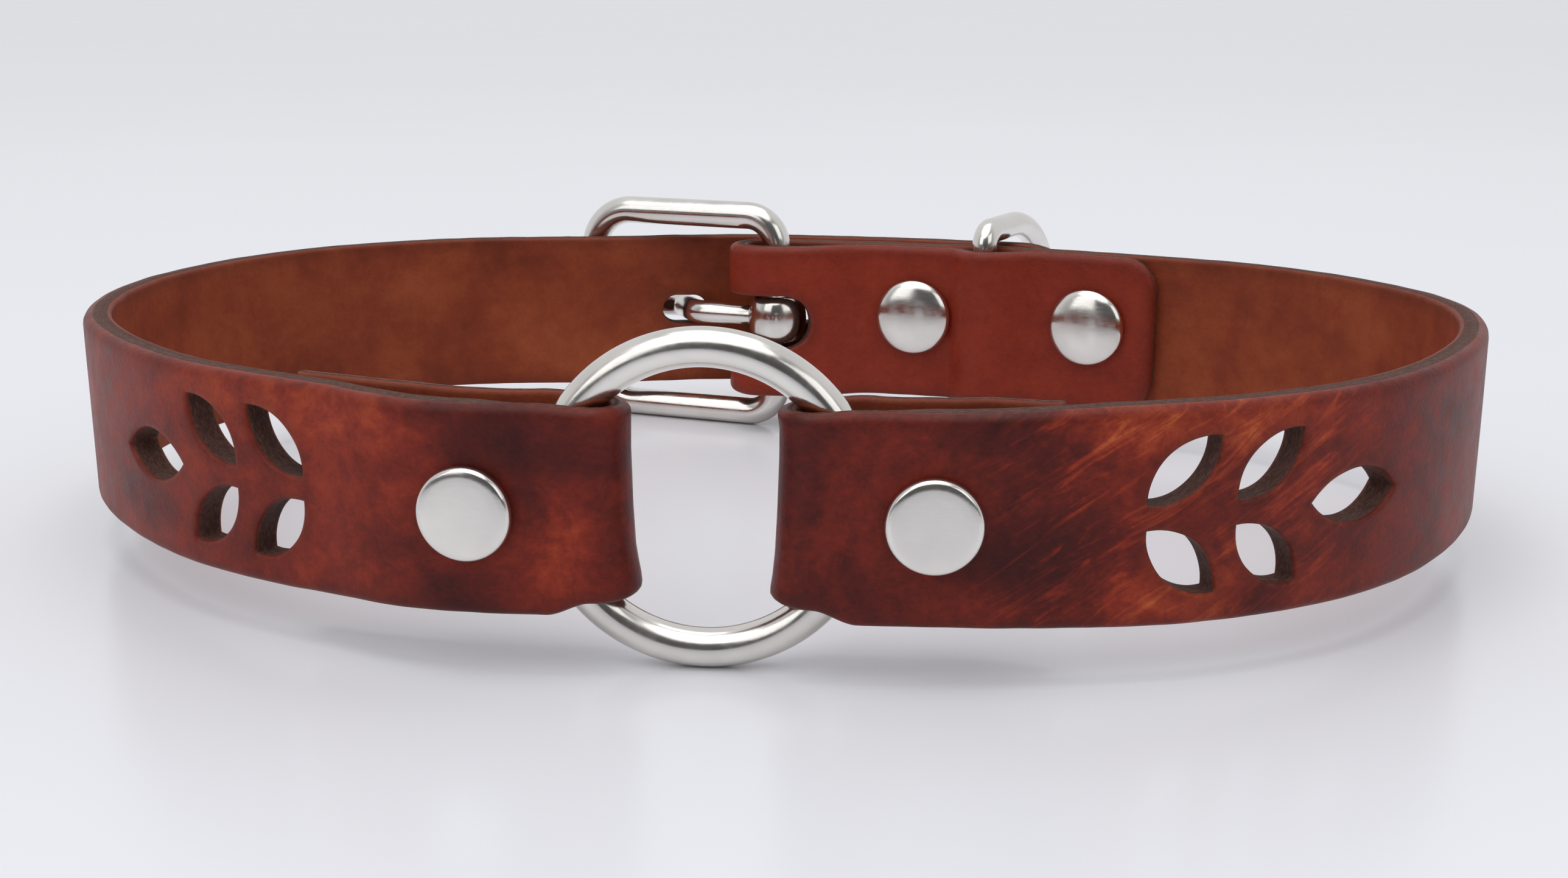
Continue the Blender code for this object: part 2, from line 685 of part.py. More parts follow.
def buckle_tongue(material):
    """Tongue that turns on the heel bar and rests on the front bar, through the billet."""
    heel, front = buckle_ends()
    away = (front - heel) / np.linalg.norm(front - heel)
    inner = BUCKLE_WIRE / 2 + CLEARANCE
    outer = TONGUE_EYE / 2
    half = TONGUE_EYE_HEIGHT / 2
    lip = inner + 0.3 * (outer - inner)
    profile = [(inner, -half), (lip, -half)]
    profile += [(lip + (outer - lip) * x, half * z)
                for x, z in arc((0.0, 0.0), 1.0, -0.8, 0.8, 6)]
    profile += [(lip, half), (inner, half)]
    mesh = lathe_mesh("buckle_tongue", profile, 18, closed=True)
    thing = new_object("buckle_tongue", mesh, material)
    rest = BUCKLE_WIRE / 2 + CLEARANCE + TONGUE_WIRE / 2
    crossing = PIN_HOLE_FROM_HEEL
    rows = [
        # distance from the heel bar, rise towards the outside
        ((inner + outer) / 2, 0.0),
        (0.62 * crossing, 0.0),
        (0.79 * crossing, 0.01 * rest),
        (0.885 * crossing, 0.10 * rest),
        (1.00 * crossing, 0.57 * rest),
        (1.115 * crossing, 1.04 * rest),
        (1.21 * crossing, 1.16 * rest),
        (1.36 * crossing, 1.13 * rest),
        (1.63 * crossing, 1.06 * rest),
        (BUCKLE_BAR_SPACING, rest),
        (BUCKLE_BAR_SPACING + TONGUE_PAST_BAR, 0.92 * rest),
    ]
    out = Vector((away[1], -away[0], 0.0))
    if out.dot(Vector((*loop_outward(HEEL_AT), 0.0))) < 0:
        out = -out
    path = [Vector((away[0] * x, away[1] * x, 0.0)) + out * y for x, y in rows]
    shank_mesh = wire_mesh("tongue_shank", path, Vector((0, 0, 1)), TONGUE_WIRE / 2, 10, False)
    shank = new_object("tongue_shank", shank_mesh, material)
    for piece in (thing, shank):
        piece.location = (heel[0], heel[1], 0.0)
    shank.hide_render = True
    shank.display_type = "WIRE"
    join = thing.modifiers.new("shank", "BOOLEAN")
    join.operation = "UNION"
    join.solver = "EXACT"
    join.object = shank
    round_smooth(thing)
    return [thing, shank]


def d_ring(material):
    """D-ring on its upright bar, swung a little round it."""
    half = D_INNER / 2 + D_WIRE / 2
    corner = D_CORNER
    outline = arc((corner, corner - half), corner, 2, 3, 4)
    outline += arc((D_ARM, 0.0), half, 3, 5, 18)
    outline += arc((corner, half - corner), corner, 1, 2, 4)
    path = [(x, 0.0, z) for x, z in outline]
    mesh = wire_mesh("d_ring", path, Vector((0, 1, 0)), D_WIRE / 2, WIRE_SIDES)
    thing = new_object("d_ring", mesh, material)
    s = HEEL_AT - D_FROM_HEEL
    at = place(s, D_OFFSET)
    out = loop_outward(s)
    thing.location = (at[0], at[1], D_RAISE)
    thing.rotation_euler = (0.0, 0.0, math.atan2(out[1], out[0]) - D_SWING)
    round_smooth(thing)
    return thing


def rivet_holes(rows, lengths, s, flap, raised=0.0):
    """Round holes for a rivet at s, through the outer layer and the named flap."""
    return [round_hole(length_at(rows, lengths, layer, s), RIVET_HOLE, raised)
            for layer in ("outer", flap)]


def split_flaps(rows):
    """Name the front and back flaps apart, since both lie over the same kind of layer."""
    first_outer = next(i for i, row in enumerate(rows) if row["layer"] == "outer")
    for row in rows[:first_outer]:
        if row["layer"] == "flap":
            row["layer"] = "front_flap"
    return rows


def sprig_holes(rows, lengths, s):
    """Leaf openings of the sprig centred over s."""
    along = length_at(rows, lengths, "outer", s)
    return [leaf_hole(along, row) for row in SPRIG_LEAVES]


def buckle_strap(material):
    """Right strap, folded round the O-ring and round the buckle's heel bar."""
    rows = split_flaps(right_strap_rows())
    lengths = path_lengths(rows)
    holes = rivet_holes(rows, lengths, FRONT_RIVET_FROM_RING, "front_flap")
    for v in (HEEL_RIVET_AT, FLAP_RIVET_AT):
        holes += rivet_holes(rows, lengths, HEEL_AT - v, "flap", BACK_RIVET_RAISE)
    slot_s = HEEL_AT - SLOT_PAST_HEEL + SLOT_HEIGHT / 2
    holes.append(slot_hole(length_at(rows, lengths, "outer", slot_s),
                           length_at(rows, lengths, "flap", slot_s), SLOT_HEIGHT))
    holes += sprig_holes(rows, lengths, SPRIG_FROM_RING[1])
    return strap("buckle_strap", rows, holes, material)


def billet_strap(material):
    """Left strap, folded round the O-ring, whose tail goes through the buckle."""
    rows = split_flaps(left_strap_rows())
    lengths = path_lengths(rows)
    holes = rivet_holes(rows, lengths, -FRONT_RIVET_FROM_RING, "front_flap")
    holes += sprig_holes(rows, lengths, -SPRIG_FROM_RING[0])
    pin_s = HEEL_AT - LOOP_LENGTH + PIN_HOLE_FROM_HEEL
    pin = length_at(rows, lengths, "outer", pin_s)
    run = (PIN_HOLE_LENGTH - PIN_HOLE_HEIGHT) / 2
    holes.append(slot_hole(pin - run, pin + run, PIN_HOLE_HEIGHT))
    for k in range(SPARE_HOLES):
        holes.append(round_hole(pin + (k + 1) * SPARE_HOLE_PITCH, SPARE_HOLE))
    return strap("billet_strap", rows, holes, material)


def stand_on_floor(things):
    """Parent the pieces to an empty that centres them and stands them on the floor."""
    bpy.context.view_layer.update()
    corners = [thing.matrix_world @ v.co for thing in things for v in thing.data.vertices]
    low = [min(c[k] for c in corners) for k in range(3)]
    high = [max(c[k] for c in corners) for k in range(3)]
    holder = bpy.data.objects.new("collar", None)
    bpy.context.scene.collection.objects.link(holder)
    for thing in things:
        thing.parent = holder
    holder.location = (-(low[0] + high[0]) / 2, -(low[1] + high[1]) / 2, -low[2])


def main():
    """Build the collar."""
    for thing in list(bpy.data.objects):
        bpy.data.objects.remove(thing, do_unlink=True)
    leather = make_material("leather", (0.23, 0.045, 0.022), 0.5, 0.0)
    nickel = make_material("nickel", (0.72, 0.70, 0.67), 0.24, 1.0)
    things = [billet_strap(leather), buckle_strap(leather), o_ring(nickel)]
    for name, side in (("rivet_front_left", -1), ("rivet_front_right", 1)):
        things.append(rivet(name, side * FRONT_RIVET_FROM_RING,
                            RIVET_FLAP_FACE - FLAP_LEATHER,
                            RIVET_CAP_RISE, RIVET_CAP_RISE, RIVET_CAP, 0.0, nickel))
    for name, v in (("rivet_back_heel", HEEL_RIVET_AT), ("rivet_back_flap", FLAP_RIVET_AT)):
        things.append(rivet(name, HEEL_AT - v, CLOSED_FLAP_FACE - FLAP_LEATHER,
                            RIVET_FLAT_HEAD, RIVET_DOME_RISE, BACK_RIVET_CAP,
                            BACK_RIVET_RAISE, nickel))
    things.append(buckle_frame(nickel))
    things += buckle_tongue(nickel)
    things.append(d_ring(nickel))
    stand_on_floor(things)


main()
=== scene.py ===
import json
import math

import bmesh
import bpy
import numpy as np
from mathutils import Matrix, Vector, kdtree, noise
from mathutils.geometry import delaunay_2d_cdt


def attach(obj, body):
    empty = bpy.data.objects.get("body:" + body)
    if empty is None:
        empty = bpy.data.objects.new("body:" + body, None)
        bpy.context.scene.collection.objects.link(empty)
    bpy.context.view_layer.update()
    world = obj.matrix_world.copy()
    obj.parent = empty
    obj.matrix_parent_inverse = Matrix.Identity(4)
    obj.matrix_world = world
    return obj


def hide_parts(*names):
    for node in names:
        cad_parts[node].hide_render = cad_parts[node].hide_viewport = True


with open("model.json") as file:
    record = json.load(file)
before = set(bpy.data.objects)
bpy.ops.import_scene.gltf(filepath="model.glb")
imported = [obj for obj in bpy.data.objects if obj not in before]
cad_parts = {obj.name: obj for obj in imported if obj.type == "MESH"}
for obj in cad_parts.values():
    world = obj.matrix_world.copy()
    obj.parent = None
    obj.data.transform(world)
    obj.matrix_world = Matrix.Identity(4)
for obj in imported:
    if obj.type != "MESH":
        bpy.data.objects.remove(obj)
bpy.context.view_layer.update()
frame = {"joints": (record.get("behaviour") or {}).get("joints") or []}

MM = 0.001

# Sizes of the straps, as in the CAD model
STRAP_WIDTH = 19.0 * MM
LEATHER = 2.8 * MM
FLAP_LEATHER = 1.9 * MM
RING_FOLD_LEATHER = 1.8 * MM
BUCKLE_FOLD_LEATHER = 2.4 * MM
CLEARANCE = 0.3 * MM
HALF_LENGTH = 71.5 * MM
HALF_DEPTH = 47.0 * MM
HEEL_SHARE = 0.5073
FRONT_STRAIGHT = 16.0 * MM
FRONT_EASING = 18.0 * MM
OUTWARD_REACH = 1.5 * MM
RING_ROOM = 3.8 * MM
RING_WIRE = 3.4 * MM
RING_RAISE = 0.5 * MM
FOLD_TRIM = 1.05 * MM
FOLD_WIDENING = 4.0 * MM
NECK_TRIM = 0.4 * MM
NECK_END = 40.0 * MM
LEFT_FLAP = 38.5 * MM
RIGHT_FLAP = 30.5 * MM
RIVET_CAP = 8.2 * MM
BACK_RIVET_CAP = 9.3 * MM
BACK_RIVET_RAISE = 0.9 * MM
RIVET_CAP_RISE = 1.1 * MM
RIVET_DOME_RISE = 1.9 * MM
RIVET_FLAT_HEAD = 0.6 * MM
RIVET_POST = 3.2 * MM
RIVET_HOLE = 4.1 * MM
FRONT_RIVET_FROM_RING = 19.3 * MM
FRONT_RIVET_AIR = 2.7 * MM
HEEL_RIVET_BEFORE_D = 8.6 * MM
FLAP_RIVET_PAST_D = 13.9 * MM
BUCKLE_WIRE = 3.4 * MM
BUCKLE_ROOM = 1.5 * MM
BUCKLE_BAR_SPACING = 25.5 * MM
BUCKLE_FRONT_CORNER = 5.4 * MM
BUCKLE_HEEL_CORNER = 4.0 * MM
BUCKLE_FOLD_BEYOND_BAR = 6.1 * MM
FLAP_PAST_RIVET = 8.1 * MM
FLAP_CORNER = 4.2 * MM
TONGUE_WIRE = 3.0 * MM
TONGUE_EYE = 7.4 * MM
TONGUE_EYE_HEIGHT = 5.8 * MM
TONGUE_PAST_BAR = 2.8 * MM
SLOT_HEIGHT = 6.8 * MM
SLOT_PAST_HEEL = 4.6 * MM
TAIL_BEFORE_RIVET = 2.5 * MM
TAIL_ROUNDING = 8.0 * MM
TAIL_TIP = 7.0 * MM
PIN_HOLE_FROM_HEEL = 12.9 * MM
PIN_HOLE_LENGTH = 5.8 * MM
PIN_HOLE_HEIGHT = 3.7 * MM
SPARE_HOLE = 3.6 * MM
SPARE_HOLE_PITCH = 16.0 * MM
SPARE_HOLES = 2
D_WIRE = 3.1 * MM
D_ROOM = 2.2 * MM
D_ARM = 8.0 * MM
D_CORNER = 1.9 * MM
D_FROM_HEEL = 26.6 * MM
D_SWING = math.radians(13.5)
D_SETTLE = 0.85 * MM
D_BULGE_BEFORE = 4.4 * MM
D_BULGE_PAST = 7.5 * MM
SPRIG_FROM_RING = (46.5 * MM, 47.5 * MM)
SPRIG_LEAVES = (
    # base along the stem, base off the stem, angle in degrees, length, width
    (4.4 * MM, 0.0 * MM, 0.0, 10.2 * MM, 4.8 * MM),
    (-3.0 * MM, 1.1 * MM, 43.0, 8.3 * MM, 4.0 * MM),
    (-3.0 * MM, -1.1 * MM, -43.0, 8.3 * MM, 4.0 * MM),
    (-10.8 * MM, 1.1 * MM, 43.0, 8.3 * MM, 4.0 * MM),
    (-10.8 * MM, -1.1 * MM, -43.0, 8.3 * MM, 4.0 * MM),
)
PLAN = (
    # along X, along Y
    (-0.069, -0.968),
    (0.196, -0.998),
    (0.515, -0.953),
    (0.776, -0.740),
    (0.960, -0.340),
    (0.999, 0.064),
    (0.850, 0.457),
    (0.561, 0.722),
    (0.276, 0.867),
    (0.000, 0.948),
    (-0.378, 0.991),
    (-0.640, 0.919),
    (-0.860, 0.672),
    (-0.973, 0.277),
    (-0.945, -0.149),
    (-0.766, -0.553),
    (-0.524, -0.804),
    (-0.280, -0.930),
)
PLAN_STEPS = 24

# Fineness of the visible meshes
SECTION_STEP = 0.9 * MM
FLAP_STEP = 0.8 * MM
CLOSE_STEP = 0.4 * MM
BEND_STEPS = 18
GRID = 0.85 * MM
BORDER_STEP = 0.5 * MM
BORDER_RINGS = (0.0, 0.06 * MM, 0.18 * MM, 0.38 * MM, 0.65 * MM, 1.0 * MM)
GRAIN_ROUNDING = 0.95 * MM
FLESH_ROUNDING = 0.4 * MM
HOLE_ROUNDING = 0.35
WALL_ROWS = 4
LEAF_STEPS = 12
HOLE_STEPS = 20

# Shape of the folds' ends, and the table
FOLD_REACH = 8.5 * MM
FOLD_CORNER_DIP = 0.4 * MM
FOLD_WAIST = {
    # height as a share of half the width, pull away from the ring's middle
    -1: ((-0.84, 0.35 * MM), (-0.78, 0.12 * MM), (-0.70, 0.10 * MM), (-0.60, 0.30 * MM),
         (-0.40, 0.65 * MM), (0.00, 0.88 * MM), (0.50, 0.95 * MM), (0.85, 0.85 * MM),
         (1.00, 0.80 * MM)),
    1: ((-0.84, 0.40 * MM), (-0.78, 0.20 * MM), (-0.65, 0.45 * MM), (-0.40, 0.75 * MM),
        (0.00, 1.00 * MM), (0.50, 1.20 * MM), (0.80, 1.20 * MM), (0.92, 0.85 * MM),
        (1.00, 0.80 * MM)),
}
TABLE_SIDE = 5.0
TABLE_FRONT = 2.5
TABLE_BACK = 8.0

# Dye of the grain side, with a painted sheen by the left fold and a painted highlight along the
# left strap's top, in millimetres from the ring's middle and from the strap's middle
BILLET_ZONES = (
    # distance along, darkness
    (-190, 0.40), (-75, 0.38), (-55, 0.26), (-34, 0.22), (-24, 0.46), (-14, 0.48),
    # the lighter step at -9.5 is a painted vertical sheen on the leather beside the fold
    (-9.5, 0.30), (-7, 0.50), (-5, 0.65),
)
BUCKLE_ZONES = (
    # distance along, darkness
    (5, 0.70), (8, 0.62), (11, 0.40), (15, 0.48), (22, 0.58), (34, 0.50), (48, 0.38),
    (62, 0.42), (78, 0.46), (120, 0.40), (145, 0.16), (190, 0.10),
)
BILLET_PATCHES = (
    # place along and up, half size along and up, darkness
    ((-14.0, 6.0), (8.0, 5.0), 0.20),
    ((-20.0, -7.5), (5.0, 3.0), 0.14),
    ((-58.0, -5.0), (7.0, 3.0), 0.16),
    # lighter band along the top: painted highlight where the rounded top edge catches the
    # overhead light
    ((-37.0, 7.0), (17.0, 4.0), -0.18),
    # tall narrow lighter patch beside the fold: painted vertical sheen
    ((-11.0, -2.0), (3.5, 7.0), -0.14),
)
BUCKLE_PATCHES = (
    # place along and up, half size along and up, darkness
    ((29.0, -3.0), (9.0, 5.0), 0.18),
    ((24.0, 8.0), (6.0, 2.6), 0.14),
    ((40.0, 8.0), (15.0, 3.4), -0.22),
    ((39.0, -5.5), (9.0, 5.0), -0.18),
    ((47.0, -7.5), (4.0, 3.0), 0.16),
)

# Offsets across the leather, from the middle of the single layer, outward positive
OUTER_FACE = LEATHER / 2
RING_OFFSET = OUTER_FACE - RING_FOLD_LEATHER - CLEARANCE - RING_WIRE / 2
RING_FLAP_FACE = RING_OFFSET - RING_WIRE / 2 - CLEARANCE
RIVET_FLAP_FACE = -LEATHER / 2 - FRONT_RIVET_AIR
CLOSED_FLAP_FACE = -LEATHER / 2 - CLEARANCE
HEEL_OFFSET = OUTER_FACE - BUCKLE_FOLD_LEATHER - CLEARANCE - BUCKLE_WIRE / 2
HEEL_FLAP_FACE = HEEL_OFFSET - BUCKLE_WIRE / 2 - CLEARANCE
D_OFFSET = D_SETTLE - LEATHER / 2 - CLEARANCE - D_WIRE / 2
TAIL_OFFSET = OUTER_FACE + RIVET_FLAT_HEAD + 2 * CLEARANCE + LEATHER / 2
RING_INNER = STRAP_WIDTH + RING_ROOM
RING_RADIUS = (RING_INNER + RING_WIRE) / 2
FOLD_HEIGHT = STRAP_WIDTH - 2 * FOLD_TRIM
FOLD_TO_RING_CENTRE = (math.sqrt(RING_INNER ** 2 - FOLD_HEIGHT ** 2) / 2
                       - 1.8 * CLEARANCE - RING_FOLD_LEATHER)
BUCKLE_HEIGHT = STRAP_WIDTH + 2 * BUCKLE_ROOM + 2 * BUCKLE_WIRE
D_INNER = STRAP_WIDTH + D_ROOM
FLOOR = RING_RAISE - RING_RADIUS - RING_WIRE / 2
BUCKLE_RAISE = FLOOR + BUCKLE_HEIGHT / 2
D_RAISE = FLOOR + D_INNER / 2 + D_WIRE
HEEL_RIVET_AT = D_FROM_HEEL - HEEL_RIVET_BEFORE_D
FLAP_RIVET_AT = D_FROM_HEEL + FLAP_RIVET_PAST_D
BUCKLE_FLAP = FLAP_RIVET_AT + FLAP_PAST_RIVET
TAIL_PAST_HEEL = FLAP_RIVET_AT - TAIL_BEFORE_RIVET
D_SETTLE_REACH = HEEL_RIVET_BEFORE_D - RIVET_CAP / 2


# The path of the straps

def smooth(x, x0, x1, a, b):
    """Value that eases from a at x0 to b at x1."""
    f = min(max((x - x0) / (x1 - x0), 0.0), 1.0)
    return a + (b - a) * f * f * (3 - 2 * f)


def plan_points():
    """Closed smooth curve through the rows of the plan, straight across the O-ring."""
    rows = [np.array((x * HALF_LENGTH, y * HALF_DEPTH)) for x, y in PLAN]
    count = len(rows)
    points = []
    for i in range(count):
        before, start, end, after = (rows[(i + k) % count] for k in (-1, 0, 1, 2))
        for j in range(PLAN_STEPS):
            f = j / PLAN_STEPS
            points.append(0.5 * (2 * start + (end - before) * f
                                 + (2 * before - 5 * start + 4 * end - after) * f ** 2
                                 + (3 * start - before - 3 * end + after) * f ** 3))
    centre = points[0]
    along = points[1] - points[-1]
    along = along / np.linalg.norm(along)
    eased = []
    for point in points:
        reach = np.linalg.norm(point - centre)
        share = smooth(reach, FRONT_STRAIGHT, FRONT_STRAIGHT + FRONT_EASING, 1.0, 0.0)
        flat = centre + along * np.dot(point - centre, along)
        eased.append(point * (1 - share) + flat * share)
    return np.array(eased + [eased[0]])


LOOP = plan_points()
LOOP_AT = np.concatenate(([0.0], np.cumsum(np.linalg.norm(np.diff(LOOP, axis=0), axis=1))))
LOOP_LENGTH = LOOP_AT[-1]
HEEL_AT = HEEL_SHARE * LOOP_LENGTH


def loop_place(s):
    """Plan point at the distance s round the loop from the O-ring, rightwards positive."""
    s = s % LOOP_LENGTH
    return np.array([np.interp(s, LOOP_AT, LOOP[:, k]) for k in (0, 1)])


def loop_outward(s):
    """Unit plan vector that points out of the loop at s."""
    along = loop_place(s + OUTWARD_REACH) - loop_place(s - OUTWARD_REACH)
    along = along / np.linalg.norm(along)
    return np.array((along[1], -along[0]))


def place(s, offset):
    """Plan point beside the loop at s, offset outward."""
    return loop_place(s) + loop_outward(s) * offset


def station(layer, s, offset, thickness, top, bottom):
    """One upright section of a strap."""
    return {"layer": layer, "s": s, "at": place(s, offset),
            "thickness": thickness, "top": top, "bottom": bottom}


def spread(start, end, step):
    """Evenly spaced values from start to end, both included."""
    count = max(2, math.ceil(abs(end - start) / step) + 1)
    return np.linspace(start, end, count)


def fold_bend(locate, centre, middle, radius, thickness, top, bottom):
    """Sections round a fold, from the flap to the outer layer."""
    rows = []
    for angle in np.linspace(0, math.pi, BEND_STEPS + 1)[1:-1]:
        s = locate(centre - radius * math.sin(angle))
        offset = middle - radius * math.cos(angle)
        rows.append(station("bend", s, offset, thickness, top, bottom))
    return rows


def half_width(u):
    """Half the strap's width at the distance u from the O-ring."""
    full = STRAP_WIDTH / 2
    return smooth(u, FRONT_RIVET_FROM_RING, NECK_END, full - NECK_TRIM, full)


def ring_fold(side, flap_length):
    """Sections from the end of the inner flap, round the O-ring and on to the outer layer."""
    outer_middle = OUTER_FACE - RING_FOLD_LEATHER / 2
    flap_middle = RING_FLAP_FACE - RING_FOLD_LEATHER / 2
    radius = (outer_middle - flap_middle) / 2
    centre = FOLD_TO_RING_CENTRE + radius + RING_FOLD_LEATHER / 2
    fold_top = min(half_width(0), RING_RAISE + FOLD_HEIGHT / 2)
    fold_bottom = max(-half_width(0), RING_RAISE - FOLD_HEIGHT / 2)
    widen = (centre, centre + FOLD_WIDENING)
    cap_start = FRONT_RIVET_FROM_RING - RIVET_CAP / 2
    cap_end = FRONT_RIVET_FROM_RING + RIVET_CAP / 2 + CLEARANCE
    lift = (RING_RADIUS + 2 * CLEARANCE, cap_start)

    def heights(u):
        half = half_width(u)
        return smooth(u, *widen, fold_top, half), smooth(u, *widen, fold_bottom, -half)

    def flap(u):
        face = smooth(u, *lift, RING_FLAP_FACE, RIVET_FLAP_FACE)
        if u > cap_end:
            face = smooth(u, cap_end, flap_length, RIVET_FLAP_FACE, CLOSED_FLAP_FACE)
        thickness = smooth(u, centre, cap_start, RING_FOLD_LEATHER, FLAP_LEATHER)
        return station("flap", side * u, face - thickness / 2, thickness, *heights(u))

    def outer(u):
        thickness = smooth(u, RING_RADIUS + RING_WIRE / 2 + CLEARANCE,
                           FRONT_RIVET_FROM_RING, RING_FOLD_LEATHER, LEATHER)
        return station("outer", side * u, OUTER_FACE - thickness / 2, thickness, *heights(u))

    rows = [flap(u) for u in spread(flap_length, cap_end, FLAP_STEP)]
    rows += [flap(u) for u in spread(cap_end, cap_start, FLAP_STEP)[1:-1]]
    rows += [flap(u) for u in spread(cap_start, centre, CLOSE_STEP)]
    rows += fold_bend(lambda u: side * u, centre, (outer_middle + flap_middle) / 2, radius,
                      RING_FOLD_LEATHER, fold_top, fold_bottom)
    rows += [outer(u) for u in spread(centre, cap_start, CLOSE_STEP)]
    rows += [outer(u) for u in spread(cap_start, cap_end, FLAP_STEP)[1:]]
    return rows


def swell(v, start, end):
    """Share of a bulge over the D-ring's bar, from nothing at start and end to one there."""
    reach = start - D_FROM_HEEL if v < D_FROM_HEEL else end - D_FROM_HEEL
    return math.cos(math.pi / 2 * min((v - D_FROM_HEEL) / reach, 1.0)) ** 2


def buckle_fold():
    """Sections of the right strap round the heel bar and along the flap inside."""
    outer_middle = OUTER_FACE - BUCKLE_FOLD_LEATHER / 2
    flap_middle = HEEL_FLAP_FACE - BUCKLE_FOLD_LEATHER / 2
    radius = (outer_middle - flap_middle) / 2
    centre = radius + BUCKLE_FOLD_LEATHER / 2 - BUCKLE_FOLD_BEYOND_BAR
    full = STRAP_WIDTH / 2
    first_cap = HEEL_RIVET_AT - BACK_RIVET_CAP / 2
    settle = (D_FROM_HEEL + D_SETTLE_REACH, D_FROM_HEEL - D_SETTLE_REACH)
    bulge = (D_FROM_HEEL - D_BULGE_BEFORE, D_FROM_HEEL + D_BULGE_PAST)
    bulge_face = D_OFFSET - D_WIRE / 2 - 2 * CLEARANCE

    def outer(v):
        thickness = smooth(v, centre, first_cap, BUCKLE_FOLD_LEATHER, LEATHER)
        pushed = D_SETTLE * swell(v, *settle[::-1])
        return station("outer", HEEL_AT - v, OUTER_FACE + pushed - thickness / 2, thickness,
                       full, -full)

    def flap(v):
        face = smooth(v, BUCKLE_WIRE / 2, first_cap, HEEL_FLAP_FACE, CLOSED_FLAP_FACE)
        face += (bulge_face - CLOSED_FLAP_FACE) * swell(v, *bulge)
        thickness = smooth(v, centre, first_cap, BUCKLE_FOLD_LEATHER, FLAP_LEATHER)
        inset = min(max(0.0, v - (BUCKLE_FLAP - FLAP_CORNER)), FLAP_CORNER)
        height = full - FLAP_CORNER + math.sqrt(FLAP_CORNER ** 2 - inset ** 2)
        return station("flap", HEEL_AT - v, face - thickness / 2, thickness, height, -height)

    rows = [outer(v) for v in spread(*settle, CLOSE_STEP)]
    rows += [outer(v) for v in spread(settle[1], centre, FLAP_STEP)[1:]]
    bend = fold_bend(lambda v: HEEL_AT - v, centre, (outer_middle + flap_middle) / 2, radius,
                     BUCKLE_FOLD_LEATHER, full, -full)
    rows += bend[::-1]
    rows += [flap(v) for v in spread(centre, bulge[0], FLAP_STEP)]
    rows += [flap(v) for v in spread(*bulge, CLOSE_STEP)[1:]]
    rows += [flap(v) for v in spread(bulge[1], BUCKLE_FLAP - FLAP_CORNER, SECTION_STEP)[1:]]
    for angle in np.linspace(0, math.pi / 2, 9)[1:]:
        rows.append(flap(BUCKLE_FLAP - FLAP_CORNER * (1 - math.sin(angle))))
    return rows


def right_strap_rows():
    """Sections of the buckle strap from its front flap to its back flap."""
    rows = ring_fold(1, RIGHT_FLAP)
    back = buckle_fold()
    for s in spread(rows[-1]["s"], back[0]["s"], SECTION_STEP)[1:-1]:
        half = half_width(s)
        rows.append(station("outer", s, 0.0, LEATHER, half, -half))
    return rows + back


def tail_offset(v):
    """How far out the left strap runs at the distance v to the right of the heel bar."""
    return smooth(v, -1.06 * BUCKLE_BAR_SPACING, -0.1 * BUCKLE_BAR_SPACING, 0.0, TAIL_OFFSET)


def left_strap_rows():
    """Sections of the billet strap from its front flap to the tip of its tail."""
    rows = ring_fold(-1, LEFT_FLAP)
    full = STRAP_WIDTH / 2
    rounding_start = TAIL_PAST_HEEL - TAIL_ROUNDING
    end = HEEL_AT - rounding_start - LOOP_LENGTH
    for s in spread(rows[-1]["s"], end, SECTION_STEP)[1:]:
        half = half_width(-s)
        offset = tail_offset(HEEL_AT - LOOP_LENGTH - s)
        rows.append(station("outer", s, offset, LEATHER, half, -half))
    for angle in np.linspace(0, math.pi / 2, 13)[1:]:
        v = rounding_start + TAIL_ROUNDING * math.sin(angle)
        height = TAIL_TIP / 2 + (full - TAIL_TIP / 2) * math.cos(angle)
        rows.append(station("outer", HEEL_AT - LOOP_LENGTH - v, tail_offset(v), LEATHER,
                            height, -height))
    return rows


def split_flaps(rows):
    """Name the front flap apart, since both flaps lie over the same kind of layer."""
    first_outer = next(i for i, row in enumerate(rows) if row["layer"] == "outer")
    for row in rows[:first_outer]:
        if row["layer"] == "flap":
            row["layer"] = "front_flap"
    return rows


def path_lengths(rows):
    """Distance of each section from the first, along the middle of the leather."""
    steps = [np.linalg.norm(b["at"] - a["at"]) for a, b in zip(rows, rows[1:])]
    return np.concatenate(([0.0], np.cumsum(steps)))


def length_at(rows, lengths, layer, s):
    """Distance along the leather of the point over s in the layer."""
    pairs = sorted((row["s"], at) for row, at in zip(rows, lengths) if row["layer"] == layer)
    return float(np.interp(s, [p[0] for p in pairs], [p[1] for p in pairs]))


# Leather, cut flat and then bent round its path

def slot_hole(start, end, height, raised=0.0):
    """Outline of a slot with round ends in the flat leather."""
    radius = height / 2
    outline = []
    for centre, turn in ((end, -0.5), (start, 0.5)):
        for k in range(HOLE_STEPS if start == end else HOLE_STEPS + 1):
            angle = math.pi * (turn + k / HOLE_STEPS)
            outline.append((centre + radius * math.cos(angle),
                            raised + radius * math.sin(angle)))
    return outline


def leaf_hole(along, row):
    """Outline of one pointed leaf of the sprig, between two arcs that meet at its ends."""
    base, off, degrees, length, width = row
    chord = length / 2
    bow = width / 2
    radius = (chord ** 2 + bow ** 2) / (2 * bow)
    reach = math.asin(chord / radius)
    turn = math.radians(degrees)
    outline = []
    for half in (1, -1):
        for k in range(2 * LEAF_STEPS):
            angle = reach * (k / LEAF_STEPS - 1) * half
            x = chord + radius * math.sin(angle)
            y = half * (radius * math.cos(angle) - radius + bow)
            outline.append((along + base + x * math.cos(turn) - y * math.sin(turn),
                            off + x * math.sin(turn) + y * math.cos(turn)))
    return outline


def resample(outline, step):
    """Closed outline with points at most step apart, corners kept."""
    points = []
    for a, b in zip(outline, outline[1:] + outline[:1]):
        a = np.array(a)
        b = np.array(b)
        count = max(1, math.ceil(np.linalg.norm(b - a) / step))
        points += [a + (b - a) * k / count for k in range(count)]
    return np.array(points)


